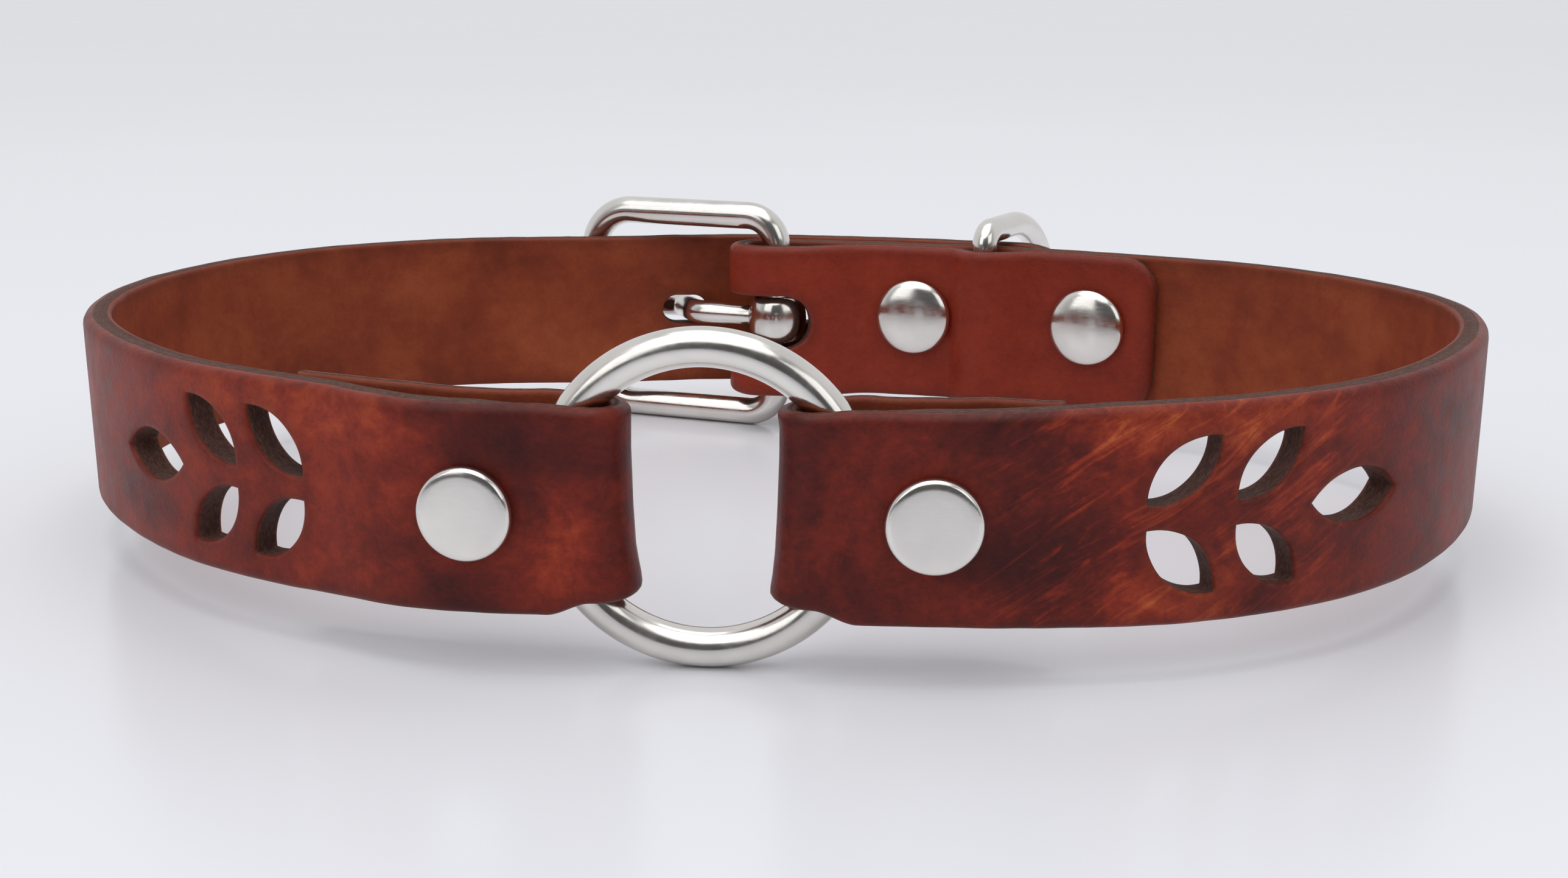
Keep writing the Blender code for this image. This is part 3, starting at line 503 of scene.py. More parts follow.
def turned_left(points):
    """The outline with its inside on the left."""
    after = np.roll(points, -1, axis=0)
    area = np.sum(points[:, 0] * after[:, 1] - after[:, 0] * points[:, 1])
    return points if area > 0 else points[::-1]


def mitres(points):
    """Outward vectors that move an outline with its inside on the left by one unit."""
    before = points - np.roll(points, 1, axis=0)
    after = np.roll(points, -1, axis=0) - points
    before = before / np.linalg.norm(before, axis=1)[:, None]
    after = after / np.linalg.norm(after, axis=1)[:, None]
    one = np.stack((before[:, 1], -before[:, 0]), axis=1)
    two = np.stack((after[:, 1], -after[:, 0]), axis=1)
    scale = np.maximum(1 + np.sum(one * two, axis=1), 0.9)
    return (one + two) / scale[:, None]


def within(points, outline):
    """Which of the points lie within the closed outline."""
    crossed = np.zeros(len(points), dtype=bool)
    x = points[:, 0]
    y = points[:, 1]
    for (x0, y0), (x1, y1) in zip(outline, np.roll(outline, -1, axis=0)):
        if y0 == y1:
            continue
        hit = ((y0 > y) != (y1 > y)) & (x < x0 + (y - y0) * (x1 - x0) / (y1 - y0))
        crossed ^= hit
    return crossed


def hand_cut(points, seed, size):
    """The outline with the small waver of a cut made by hand."""
    out = mitres(points)
    moved = []
    for p, n in zip(points, out):
        q = Vector((p[0] / (3.0 * MM), p[1] / (3.0 * MM), seed))
        moved.append(p + n * size * noise.noise(q))
    return np.array(moved)


def flat_leather(rows, lengths, holes):
    """The flat leather: points, triangles, border distance, edge softness and borders."""
    top = [(x, row["top"]) for x, row in zip(lengths, rows)]
    bottom = [(x, row["bottom"]) for x, row in zip(lengths, rows)]
    edge = turned_left(resample(bottom + top[::-1], BORDER_STEP))
    edge = hand_cut(edge, 1.7, 0.05 * MM)
    loops = [(edge, -mitres(edge))]
    for k, hole in enumerate(holes):
        outline = turned_left(resample(hole, BORDER_STEP))
        outline = hand_cut(outline, 5.1 + k, 0.08 * MM)
        loops.append((outline, mitres(outline)))
    points = []
    edges = []
    near = []
    soft = []
    borders = []
    softness = [1.0] + [HOLE_ROUNDING] * len(holes)
    for (outline, into), share in zip(loops, softness):
        for inset in BORDER_RINGS:
            first = len(points)
            count = len(outline)
            points += list(outline + into * inset)
            near += [inset] * count
            soft += [share] * count
            edges += [(first + k, first + (k + 1) % count) for k in range(count)]
            if inset == 0:
                borders.append((first, count, -into))
    tree = kdtree.KDTree(sum(len(outline) for outline, _ in loops))
    border_soft = []
    for (outline, _), share in zip(loops, softness):
        for p in outline:
            tree.insert((p[0], p[1], 0), len(border_soft))
            border_soft.append(share)
    tree.balance()
    grid = []
    tops = [row["top"] for row in rows]
    bottoms = [row["bottom"] for row in rows]
    for i, x in enumerate(np.arange(GRID, lengths[-1], GRID)):
        high = np.interp(x, lengths, tops)
        low = np.interp(x, lengths, bottoms)
        shift = GRID / 2 * (i % 2)
        grid += [(x, z) for z in np.arange(low + shift, high, GRID)]
    grid = np.array(grid)
    keep = within(grid, edge)
    for outline, _ in loops[1:]:
        keep &= ~within(grid, outline)
    for p, kept in zip(grid, keep):
        if kept:
            _, closest, gap = tree.find((p[0], p[1], 0))
            if gap > BORDER_RINGS[-1] + 0.4 * GRID:
                points.append(p)
                near.append(gap)
                soft.append(border_soft[closest])
    scale = 1 / MM
    flat = [Vector((p[0] * scale, p[1] * scale)) for p in points]
    flat, _, faces, origins, _, _ = delaunay_2d_cdt(flat, edges, [], 0, 1e-6)
    index = [min(o) if o else -1 for o in origins]
    flat = np.array([(p.x * MM, p.y * MM) for p in flat])
    faces = np.array([tuple(f) for f in faces])
    middles = flat[faces].mean(axis=1)
    keep = within(middles, edge)
    for outline, _ in loops[1:]:
        keep &= ~within(middles, outline)
    where = {o: k for k, o in enumerate(index) if o >= 0}
    distance = np.array([near[o] if o >= 0 else 0.0 for o in index])
    soft = np.array([soft[o] if o >= 0 else 1.0 for o in index])
    return flat, faces[keep], distance, soft, borders, where


def rounding(distance, radius):
    """How far a face lies under its full height at the distance from the border."""
    share = np.clip(1 - distance / radius, 0, 1)
    return radius * (1 - np.sqrt(1 - share ** 2))


class Path:
    """Places in space of points of the flat leather."""

    def __init__(self, rows, lengths, offset):
        self.lengths = lengths
        self.at = np.array([row["at"] for row in rows])
        self.thickness = np.array([row["thickness"] for row in rows])
        self.s = np.array([row["s"] for row in rows])
        along = np.gradient(self.at, lengths, axis=0)
        along = along / np.linalg.norm(along, axis=1)[:, None]
        self.normal = np.stack((along[:, 1], -along[:, 0]), axis=1)
        self.offset = offset

    def read(self, values, x):
        if values.ndim == 1:
            return np.interp(x, self.lengths, values)
        return np.stack([np.interp(x, self.lengths, values[:, k])
                         for k in range(values.shape[1])], axis=-1)

    def points(self, x, z, height):
        normal = self.read(self.normal, x)
        normal = normal / np.linalg.norm(normal, axis=1)[:, None]
        plan = self.read(self.at, x) + normal * height[:, None]
        return np.column_stack((plan + self.offset[:2], z + self.offset[2]))


def leather_strap(name, rows, holes, grain, side, offset):
    """Fine mesh of one strap, with the attributes that its material reads."""
    lengths = path_lengths(rows)
    flat, faces, near, soft, borders, where = flat_leather(rows, lengths, holes)
    path = Path(rows, lengths, offset)
    x = flat[:, 0]
    z = flat[:, 1]
    half = path.read(path.thickness, x) / 2
    out = 1 if grain == 0 else -1
    waves = np.array([noise.noise(Vector((a / (9 * MM), b / (9 * MM), 3.3))) for a, b in flat])
    heights = {1: half - rounding(near, GRAIN_ROUNDING * soft) + 0.05 * MM * waves,
               -1: -half + rounding(near, FLESH_ROUNDING * soft)}
    verts = []
    coords = []
    border_at = []
    outside = []
    base = {}
    for way in (1, -1):
        base[way] = sum(len(v) for v in verts)
        verts.append(path.points(x, z, heights[way] * out))
        coords.append(np.column_stack((x, z, heights[way])))
        border_at.append(near)
        outside.append(np.full(len(x), float(way)))
    quads = []
    total = 2 * len(x)
    for first, count, away in borders:
        ids = np.array([where[first + k] for k in range(count)])
        ring = {0: base[1] + ids, WALL_ROWS: base[-1] + ids}
        for row in range(1, WALL_ROWS):
            share = row / WALL_ROWS
            high = heights[1][ids] * (1 - share) + heights[-1][ids] * share
            rough = np.array([noise.noise(Vector((a / (0.7 * MM), b / (0.7 * MM),
                                                  share * 4.0))) for a, b in flat[ids]])
            bulge = (0.05 * math.sin(math.pi * share) + 0.05 * rough) * MM
            wx = x[ids] + away[:, 0] * bulge
            wz = z[ids] + away[:, 1] * bulge
            verts.append(path.points(wx, wz, high * out))
            coords.append(np.column_stack((wx, wz, high)))
            border_at.append(np.zeros(count))
            outside.append(np.full(count, 1 - 2 * share))
            ring[row] = total + np.arange(count)
            total += count
        for row in range(WALL_ROWS):
            one = ring[row]
            two = ring[row + 1]
            for k in range(count):
                after = (k + 1) % count
                quads.append((one[k], one[after], two[after], two[k]))
    points = np.concatenate(verts)
    coords = np.concatenate(coords)
    reach = np.abs(path.read(path.s, coords[:, 0]))
    fade = np.clip(1 - (reach - FOLD_TO_RING_CENTRE) / FOLD_REACH, 0, 1) ** 1.5
    height = coords[:, 1] / (STRAP_WIDTH / 2)
    pull = fade * np.interp(height, *zip(*FOLD_WAIST[side]))
    ring_along = loop_place(1 * MM) - loop_place(-1 * MM)
    ring_along = ring_along / np.linalg.norm(ring_along)
    points[:, :2] += side * pull[:, None] * ring_along[None, :]
    points[:, 2] -= FOLD_CORNER_DIP * fade * np.clip((height - 0.4) / 0.6, 0, 1) ** 2
    mesh = bpy.data.meshes.new(name)
    tris = [tuple(int(k) + base[1] for k in f) for f in faces]
    tris += [tuple(int(k) + base[-1] for k in reversed(f)) for f in faces]
    mesh.from_pydata([tuple(p) for p in points], [], tris + [tuple(map(int, q)) for q in quads])
    form = bmesh.new()
    form.from_mesh(mesh)
    layers = {}
    loose = [v for v in form.verts if not v.link_faces]
    s_all = path.read(path.s, coords[:, 0])
    for key, values in (("reach", s_all / MM), ("border", np.concatenate(border_at) / MM),
                        ("outside", np.concatenate(outside))):
        layers[key] = (form.verts.layers.float.new(key), values)
    flat_layer = form.verts.layers.float_vector.new("flat")
    form.verts.ensure_lookup_table()
    for k, v in enumerate(form.verts):
        for layer, values in layers.values():
            v[layer] = float(values[k])
        v[flat_layer] = Vector(coords[k] / MM)
    bmesh.ops.delete(form, geom=loose, context="VERTS")
    bmesh.ops.recalc_face_normals(form, faces=form.faces)
    form.to_mesh(mesh)
    form.free()
    mesh.shade_smooth()
    thing = bpy.data.objects.new(name, mesh)
    bpy.context.scene.collection.objects.link(thing)
    return thing


# Hardware

def wire_mesh(name, path, normal, radius, sides, closed=True):
    """Round wire along a path in one plane, whose normal is given."""
    form = bmesh.new()
    points = [Vector(p) for p in path]
    count = len(points)
    radii = radius if isinstance(radius, list) else [radius] * count
    rings = []
    for i, point in enumerate(points):
        before = points[i - 1] if closed or i else point
        after = points[(i + 1) % count] if closed or i < count - 1 else point
        across = (after - before).cross(normal).normalized()
        rings.append([form.verts.new(point
                                     + across * (radii[i] * math.cos(2 * math.pi * k / sides))
                                     + normal * (radii[i] * math.sin(2 * math.pi * k / sides)))
                      for k in range(sides)])
    for i in range(count if closed else count - 1):
        one = rings[i]
        two = rings[(i + 1) % count]
        for k in range(sides):
            form.faces.new((one[k], one[(k + 1) % sides], two[(k + 1) % sides], two[k]))
    if not closed:
        form.faces.new(rings[0])
        form.faces.new(rings[-1])
    bmesh.ops.recalc_face_normals(form, faces=form.faces)
    mesh = bpy.data.meshes.new(name)
    form.to_mesh(mesh)
    form.free()
    mesh.shade_smooth()
    return mesh


def lathe_mesh(name, profile, sides, closed=False):
    """Turned shape about +Z through (radius, height) points."""
    form = bmesh.new()
    rings = []
    for radius, height in profile:
        if radius == 0:
            rings.append([form.verts.new((0, 0, height))])
            continue
        angles = [2 * math.pi * k / sides for k in range(sides)]
        rings.append([form.verts.new((radius * math.cos(a), radius * math.sin(a), height))
                      for a in angles])
    pairs = list(zip(rings, rings[1:]))
    if closed:
        pairs.append((rings[-1], rings[0]))
    for one, two in pairs:
        for k in range(sides):
            after = (k + 1) % sides
            corners = [one[k % len(one)], one[after % len(one)],
                       two[after % len(two)], two[k % len(two)]]
            form.faces.new(list(dict.fromkeys(corners)))
    bmesh.ops.recalc_face_normals(form, faces=form.faces)
    mesh = bpy.data.meshes.new(name)
    form.to_mesh(mesh)
    form.free()
    mesh.shade_smooth()
    return mesh


def arc(centre, radius, start, end, steps):
    """Points of an arc in its own plane, angles in quarter turns."""
    return [(centre[0] + radius * math.cos(math.pi / 2 * a),
             centre[1] + radius * math.sin(math.pi / 2 * a))
            for a in np.linspace(start, end, steps + 1)]


def even(outline, step):
    """Closed outline with extra points, so that its straight runs bend as finely as its arcs."""
    points = []
    for a, b in zip(outline, outline[1:] + outline[:1]):
        gap = math.dist(a, b)
        if gap < 1e-6:
            continue
        count = max(1, math.ceil(gap / step))
        points += [(a[0] + (b[0] - a[0]) * k / count, a[1] + (b[1] - a[1]) * k / count)
                   for k in range(count)]
    return points


def put(name, mesh, location, rotation=(0.0, 0.0, 0.0)):
    """Object of the mesh at a place in the row frame."""
    thing = bpy.data.objects.new(name, mesh)
    bpy.context.scene.collection.objects.link(thing)
    thing.location = location
    thing.rotation_euler = rotation
    return thing


def rivet_seat(s, face, way, diameter):
    """Height of a rivet head's underside clear of the leather face that curves under it."""
    out = loop_outward(s)
    reaches = np.linspace(-diameter / 2, diameter / 2, 5)
    rises = [way * np.dot(place(s + reach, face) - loop_place(s), out) for reach in reaches]
    return way * (max(rises) + CLEARANCE)


def head_profile(seat, rise, way, diameter, dome):
    """Profile of a rivet head, from its middle to the post."""
    cap = diameter / 2
    rows = []
    if dome:
        rows = [(cap * math.sin(a), rise * (0.25 + 0.75 * math.cos(a)))
                for a in np.linspace(0, math.pi / 2, 18)]
        rows += [(cap, 0.14 * rise)]
    else:
        edge = min(0.55 * rise, 0.62 * MM)
        rows = [(0.0, rise), (0.3 * cap, 0.995 * rise), (0.6 * cap, 0.975 * rise),
                (0.78 * cap, 0.945 * rise)]
        for a in np.linspace(0.25, 1, 8) * math.pi / 2:
            rows.append((cap - edge * (1 - math.sin(a)), 0.93 * rise - edge * (1 - math.cos(a))))
        rows += [(cap, 0.12 * rise)]
    rows += [(0.975 * cap, 0.0), (0.93 * cap, 0.0), (RIVET_POST / 2, 0.0)]
    return [(radius, seat + way * height) for radius, height in rows]


def rivet(name, s, inner_face, outer_rise, inner_rise, inner_cap, raised, offset):
    """Rivet through the layers at s, flat outside and domed inside."""
    profile = head_profile(rivet_seat(s, OUTER_FACE, 1, RIVET_CAP), outer_rise, 1,
                           RIVET_CAP, False)
    profile += head_profile(rivet_seat(s, inner_face, -1, inner_cap), inner_rise, -1,
                            inner_cap, True)[::-1]
    out = loop_outward(s)
    return put(name, lathe_mesh(name, profile, 64),
               (*(loop_place(s) + offset[:2]), offset[2] + raised),
               (math.pi / 2, 0.0, math.atan2(out[1], out[0]) + math.pi / 2))


def buckle_ends():
    """Plan points of the heel bar and of the buckle's front bar."""
    heel = place(HEEL_AT, HEEL_OFFSET)
    low = HEEL_AT + 0.5 * BUCKLE_BAR_SPACING
    high = HEEL_AT + 1.5 * BUCKLE_BAR_SPACING
    for _ in range(40):
        s = (low + high) / 2
        reach = tail_offset(HEEL_AT - s) + OUTER_FACE + 2 * CLEARANCE + BUCKLE_WIRE / 2
        front = place(s, reach)
        if np.linalg.norm(front - heel) < BUCKLE_BAR_SPACING:
            low = s
        else:
            high = s
    return heel, front


def hardware(offset):
    """Rings, rivets and buckle, each with the CAD node that it stands for and its body."""
    things = []
    out = loop_outward(0.0)
    path = [(x, 0.0, z) for x, z in arc((0.0, 0.0), RING_RADIUS, 0, 4, 160)[:-1]]
    mesh = wire_mesh("o_ring_wire", path, Vector((0, 1, 0)), RING_WIRE / 2, 32)
    ring = put("o_ring_wire", mesh, (*(place(0.0, RING_OFFSET) + offset[:2]),
                                     offset[2] + RING_RAISE),
               (0.0, 0.0, math.atan2(out[1], out[0]) + math.pi / 2))
    things.append((ring, "o_ring", "o_ring"))
    for name, side in (("rivet_front_left", -1), ("rivet_front_right", 1)):
        things.append((rivet(name + "_cap", side * FRONT_RIVET_FROM_RING,
                             RIVET_FLAP_FACE - FLAP_LEATHER, RIVET_CAP_RISE, RIVET_CAP_RISE,
                             RIVET_CAP, 0.0, offset), name, "collar"))
    for name, v in (("rivet_back_heel", HEEL_RIVET_AT), ("rivet_back_flap", FLAP_RIVET_AT)):
        things.append((rivet(name + "_cap", HEEL_AT - v, CLOSED_FLAP_FACE - FLAP_LEATHER,
                             RIVET_FLAT_HEAD, RIVET_DOME_RISE, BACK_RIVET_CAP,
                             BACK_RIVET_RAISE, offset), name, "collar"))

    heel, front = buckle_ends()
    away = (front - heel) / np.linalg.norm(front - heel)
    half = (BUCKLE_HEIGHT - BUCKLE_WIRE) / 2
    near = BUCKLE_HEEL_CORNER
    far = BUCKLE_FRONT_CORNER
    reach = BUCKLE_BAR_SPACING
    outline = arc((near, near - half), near, 2, 3, 16)
    outline += arc((reach - far, far - half), far, 3, 4, 20)
    outline += arc((reach - far, half - far), far, 0, 1, 20)
    outline += arc((near, half - near), near, 1, 2, 16)
    path = [(away[0] * x, away[1] * x, z) for x, z in even(outline, 1.0 * MM)]
    normal = Vector((away[1], -away[0], 0.0))
    mesh = wire_mesh("buckle_wire", path, normal, BUCKLE_WIRE / 2, 32)
    things.append((put("buckle_wire", mesh, (*(heel + offset[:2]), offset[2] + BUCKLE_RAISE)),
                   "buckle_frame", "collar"))

    outward = normal if normal.dot(Vector((*loop_outward(HEEL_AT), 0.0))) > 0 else -normal
    inner = BUCKLE_WIRE / 2 + CLEARANCE
    outer = TONGUE_EYE / 2
    eye_half = TONGUE_EYE_HEIGHT / 2
    lip = inner + 0.3 * (outer - inner)
    profile = [(inner, -eye_half), (lip, -eye_half)]
    profile += [(lip + (outer - lip) * x, eye_half * z)
                for x, z in arc((0.0, 0.0), 1.0, -0.85, 0.85, 24)]
    profile += [(lip, eye_half), (inner, eye_half)]
    eye = put("tongue_eye", lathe_mesh("tongue_eye", profile, 48, closed=True),
              (*(heel + offset[:2]), offset[2]))
    rest = BUCKLE_WIRE / 2 + CLEARANCE + TONGUE_WIRE / 2
    crossing = PIN_HOLE_FROM_HEEL
    knots = [((inner + outer) / 2, 0.0), (0.62 * crossing, 0.0),
             (0.79 * crossing, 0.01 * rest), (0.885 * crossing, 0.10 * rest),
             (1.00 * crossing, 0.57 * rest), (1.115 * crossing, 1.04 * rest),
             (1.21 * crossing, 1.16 * rest), (1.36 * crossing, 1.13 * rest),
             (1.63 * crossing, 1.06 * rest), (reach, rest),
             (reach + TONGUE_PAST_BAR, 0.92 * rest)]
    xs = np.linspace(knots[0][0], knots[-1][0], 60)
    ys = np.interp(xs, [k[0] for k in knots], [k[1] for k in knots])
    ys = np.convolve(np.pad(ys, 1, mode="edge"), np.ones(3) / 3, mode="valid")
    slim = [1.0 - 0.12 * math.exp(-((x - 1.5 * outer) / (0.6 * outer)) ** 2) for x in xs]
    radii = [TONGUE_WIRE / 2 * share * math.sqrt(max(0.0, 1 - max(0.0, (k - 55) / 4.2) ** 2))
             for k, share in enumerate(slim)]
    path = [Vector((away[0] * x, away[1] * x, 0.0)) + outward * y for x, y in zip(xs, ys)]
    shank = put("tongue_shank", wire_mesh("tongue_shank", path, Vector((0, 0, 1)), radii, 24,
                                          False), (*(heel + offset[:2]), offset[2]))
    things.append((eye, "buckle_tongue", "collar"))
    things.append((shank, "buckle_tongue", "collar"))

    half = D_INNER / 2 + D_WIRE / 2
    corner = D_CORNER
    outline = arc((corner, corner - half), corner, 2, 3, 10)
    outline += arc((D_ARM, 0.0), half, 3, 5, 72)
    outline += arc((corner, half - corner), corner, 1, 2, 10)
    path = [(x, 0.0, z) for x, z in even(outline, 1.0 * MM)]
    mesh = wire_mesh("d_ring_wire", path, Vector((0, 1, 0)), D_WIRE / 2, 32)
    s = HEEL_AT - D_FROM_HEEL
    out = loop_outward(s)
    things.append((put("d_ring_wire", mesh, (*(place(s, D_OFFSET) + offset[:2]),
                                             offset[2] + D_RAISE),
                       (0.0, 0.0, math.atan2(out[1], out[0]) - D_SWING)), "d_ring", "d_ring"))
    return things


# Materials

class Nodes:
    """Short names for building a node tree."""

    def __init__(self, name):
        self.material = bpy.data.materials.new(name)
        self.material.use_nodes = True
        self.tree = self.material.node_tree
        self.shader = self.tree.nodes["Principled BSDF"]

    def add(self, kind, **settings):
        node = self.tree.nodes.new(kind)
        for key, value in settings.items():
            setattr(node, key, value)
        return node

    def link(self, source, target):
        if isinstance(source, (int, float)):
            target.default_value = source
        elif isinstance(source, tuple):
            target.default_value = source if len(source) == len(target.default_value) \
                else (*source, 1.0)
        else:
            self.tree.links.new(source, target)

    def attribute(self, name, vector=False):
        node = self.add("ShaderNodeAttribute", attribute_name=name)
        return node.outputs["Vector" if vector else "Fac"]

    def math(self, operation, a, b=0.0, clamp=False):
        node = self.add("ShaderNodeMath", operation=operation, use_clamp=clamp)
        self.link(a, node.inputs[0])
        self.link(b, node.inputs[1])
        return node.outputs[0]

    def scaled(self, vector, scale, turn=0.0, shift=(0.0, 0.0, 0.0)):
        node = self.add("ShaderNodeMapping")
        self.link(vector, node.inputs["Vector"])
        node.inputs["Scale"].default_value = scale
        node.inputs["Rotation"].default_value = (0.0, 0.0, turn)
        node.inputs["Location"].default_value = shift
        return node.outputs[0]

    def noise(self, vector, scale, detail=4.0, roughness=0.55, distortion=0.0):
        node = self.add("ShaderNodeTexNoise")
        self.link(vector, node.inputs["Vector"])
        node.inputs["Scale"].default_value = scale
        node.inputs["Detail"].default_value = detail
        node.inputs["Roughness"].default_value = roughness
        node.inputs["Distortion"].default_value = distortion
        return node.outputs["Fac"]

    def voronoi(self, vector, scale, feature="F1"):
        node = self.add("ShaderNodeTexVoronoi", feature=feature)
        self.link(vector, node.inputs["Vector"])
        node.inputs["Scale"].default_value = scale
        return node.outputs["Distance"]

    def ramp(self, value, stops, easing="LINEAR"):
        node = self.add("ShaderNodeValToRGB")
        node.color_ramp.interpolation = easing
        elements = node.color_ramp.elements
        while len(elements) < len(stops):
            elements.new(0.5)
        for element, (at, colour) in zip(elements, stops):
            element.position = at
            element.color = (*colour, 1.0) if isinstance(colour, tuple) \
                else (colour, colour, colour, 1.0)
        self.link(value, node.inputs["Fac"])
        return node.outputs["Color"]

    def span(self, value, low, high, a=0.0, b=1.0):
        node = self.add("ShaderNodeMapRange")
        node.inputs["From Min"].default_value = low
        node.inputs["From Max"].default_value = high
        node.inputs["To Min"].default_value = a
        node.inputs["To Max"].default_value = b
        self.link(value, node.inputs["Value"])
        return node.outputs["Result"]

    def mix(self, share, a, b, blend="MIX"):
        node = self.add("ShaderNodeMix", data_type="RGBA", blend_type=blend)
        self.link(share, node.inputs[0])
        self.link(a, node.inputs[6])
        self.link(b, node.inputs[7])
        return node.outputs[2]

    def bump(self, height, distance, strength=1.0, normal=None):
        node = self.add("ShaderNodeBump")
        node.inputs["Distance"].default_value = distance
        node.inputs["Strength"].default_value = strength
        self.link(height, node.inputs["Height"])
        if normal is not None:
            self.link(normal, node.inputs["Normal"])
        return node.outputs["Normal"]


def patch(n, reach, height, at, size):
    """Soft round patch on the leather, 1 in its middle and 0 from its rim on."""
    u = n.math("DIVIDE", n.math("SUBTRACT", reach, at[0]), size[0])
    v = n.math("DIVIDE", n.math("SUBTRACT", height, at[1]), size[1])
    return n.math("SUBTRACT", 1.0, n.math("ADD", n.math("MULTIPLY", u, u),
                                          n.math("MULTIPLY", v, v)), clamp=True)


def leather_material(name, zones, patches, streaks, shift):
    """Hand-dyed leather: mottled grain side, plain flesh side and raw edges; the zones and
    patches also paint a sheen and a highlight into the grain side.

    zones are (distance from the ring in mm, darkness from 0 to 1), patches are
    (place and half size in mm along and up the strap, darkness), and streaks is the
    span of distances with slanting light marks, or None.
    """
    n = Nodes(name)
    flat = n.attribute("flat", vector=True)
    axes = n.add("ShaderNodeSeparateXYZ")
    n.link(flat, axes.inputs[0])
    reach = n.attribute("reach")
    border = n.attribute("border")
    outside = n.attribute("outside")
    moved = n.scaled(flat, (1.0, 1.0, 1.0), shift=(shift, 0.0, 0.0))

    low = zones[0][0]
    high = zones[-1][0]
    # darkness along the strap from the zones: dye, and on the billet strap a painted vertical
    # sheen beside the fold
    darkness = n.ramp(n.span(reach, low, high),
                      [((at - low) / (high - low), value) for at, value in zones], "B_SPLINE")
    blotch = n.noise(moved, 0.13, 5.0, 0.62, 0.6)
    mottle = n.noise(moved, 0.55, 8.0, 0.68, 0.4)
    flecks = n.noise(n.scaled(moved, (1.0, 1.8, 1.0), 0.5), 1.6, 6.0, 0.75)
    tone = n.math("ADD", n.math("MULTIPLY", blotch, 0.62), n.math("MULTIPLY", mottle, 0.46))
    calm = n.span(n.math("ABSOLUTE", reach), 80.0, 130.0, 1.0, 0.4)
    tone = n.math("ADD", n.math("MULTIPLY", n.math("SUBTRACT", tone, 0.54), calm), 0.54)
    tone = n.math("SUBTRACT", tone, n.math("MULTIPLY", darkness, 0.52))
    tone = n.math("ADD", tone, n.math("MULTIPLY", n.math("SUBTRACT", flecks, 0.5), 0.26))
    ragged = n.span(mottle, 0.3, 0.7, 0.55, 1.45)
    # patches: dye blotches, and on the billet strap a painted highlight along the top and a
    # painted sheen beside the fold
    for at, size, depth in patches:
        spot = n.math("MULTIPLY", patch(n, reach, axes.outputs["Y"], at, size), depth)
        tone = n.math("SUBTRACT", tone, n.math("MULTIPLY", spot, ragged))
    if streaks:
        slant = n.scaled(n.scaled(moved, (1.0, 1.0, 1.0), math.radians(-32)),
                         (0.12, 0.8, 0.3))
        marks = n.noise(slant, 1.0, 7.0, 0.66, 1.1)
        marks = n.span(marks, 0.5, 0.68)
        span = n.ramp(n.span(reach, streaks[0], streaks[1]),
                      [(0.0, 0.0), (0.2, 1.0), (0.75, 0.9), (1.0, 0.0)], "EASE")
        tone = n.math("ADD", tone, n.math("MULTIPLY", n.math("MULTIPLY", marks, span), 0.34))
    grain_colour = n.ramp(tone, [
        (0.06, (0.050, 0.0080, 0.0070)),
        (0.22, (0.105, 0.0130, 0.0090)),
        (0.36, (0.185, 0.0200, 0.0110)),
        (0.52, (0.285, 0.0340, 0.0150)),
        (0.68, (0.385, 0.0600, 0.0200)),
        (0.86, (0.500, 0.1150, 0.0360))])

    soft = n.noise(moved, 0.09, 4.0, 0.5, 0.3)
    pores = n.noise(moved, 2.4, 5.0, 0.7)
    flesh_tone = n.math("ADD", n.math("MULTIPLY", soft, 0.7),
                        n.math("MULTIPLY", n.noise(moved, 0.5, 6.0, 0.6), 0.3))
    flesh_colour = n.ramp(flesh_tone, [
        (0.28, (0.140, 0.0230, 0.0100)),
        (0.48, (0.255, 0.0450, 0.0160)),
        (0.66, (0.340, 0.0740, 0.0250))])
    flesh_colour = n.mix(n.span(pores, 0.35, 0.75, 0.0, 0.35), flesh_colour,
                         (0.10, 0.025, 0.012, 1.0))

    raw = n.noise(n.scaled(flat, (1.0, 1.0, 2.5)), 1.9, 7.0, 0.75)
    raw_colour = n.ramp(raw, [
        (0.25, (0.030, 0.0120, 0.0100)),
        (0.48, (0.085, 0.0360, 0.0270)),
        (0.72, (0.190, 0.0950, 0.0680))])

    face = n.mix(n.span(outside, -0.2, 0.2), flesh_colour, grain_colour)
    rub = n.math("MULTIPLY", n.span(border, 0.45, 0.05),
                 n.span(n.noise(flat, 0.8, 5.0, 0.7), 0.42, 0.70))
    face = n.mix(n.math("MULTIPLY", rub, 0.4), face, (0.24, 0.080, 0.050, 1.0))
    burnish = n.span(border, 1.9, 0.4, 0.0, 0.28)
    face = n.mix(burnish, face, (0.050, 0.011, 0.009, 1.0), "MIX")
    wall = n.math("MULTIPLY", n.span(border, 0.14, 0.02),
                  n.span(n.math("ABSOLUTE", outside), 0.995, 0.9), clamp=True)
    colour = n.mix(wall, face, raw_colour)
    n.link(colour, n.shader.inputs["Base Color"])

    rough = n.span(mottle, 0.3, 0.75, 0.36, 0.52)
    rough = n.math("ADD", rough, n.math("MULTIPLY", n.span(outside, 0.2, -0.2), 0.14))
    rough = n.math("ADD", rough, n.math("MULTIPLY", wall, 0.25), clamp=True)
    n.link(rough, n.shader.inputs["Roughness"])
    n.shader.inputs["Specular IOR Level"].default_value = 0.16
    n.shader.inputs["Coat Weight"].default_value = 0.04
    n.shader.inputs["Coat Roughness"].default_value = 0.28

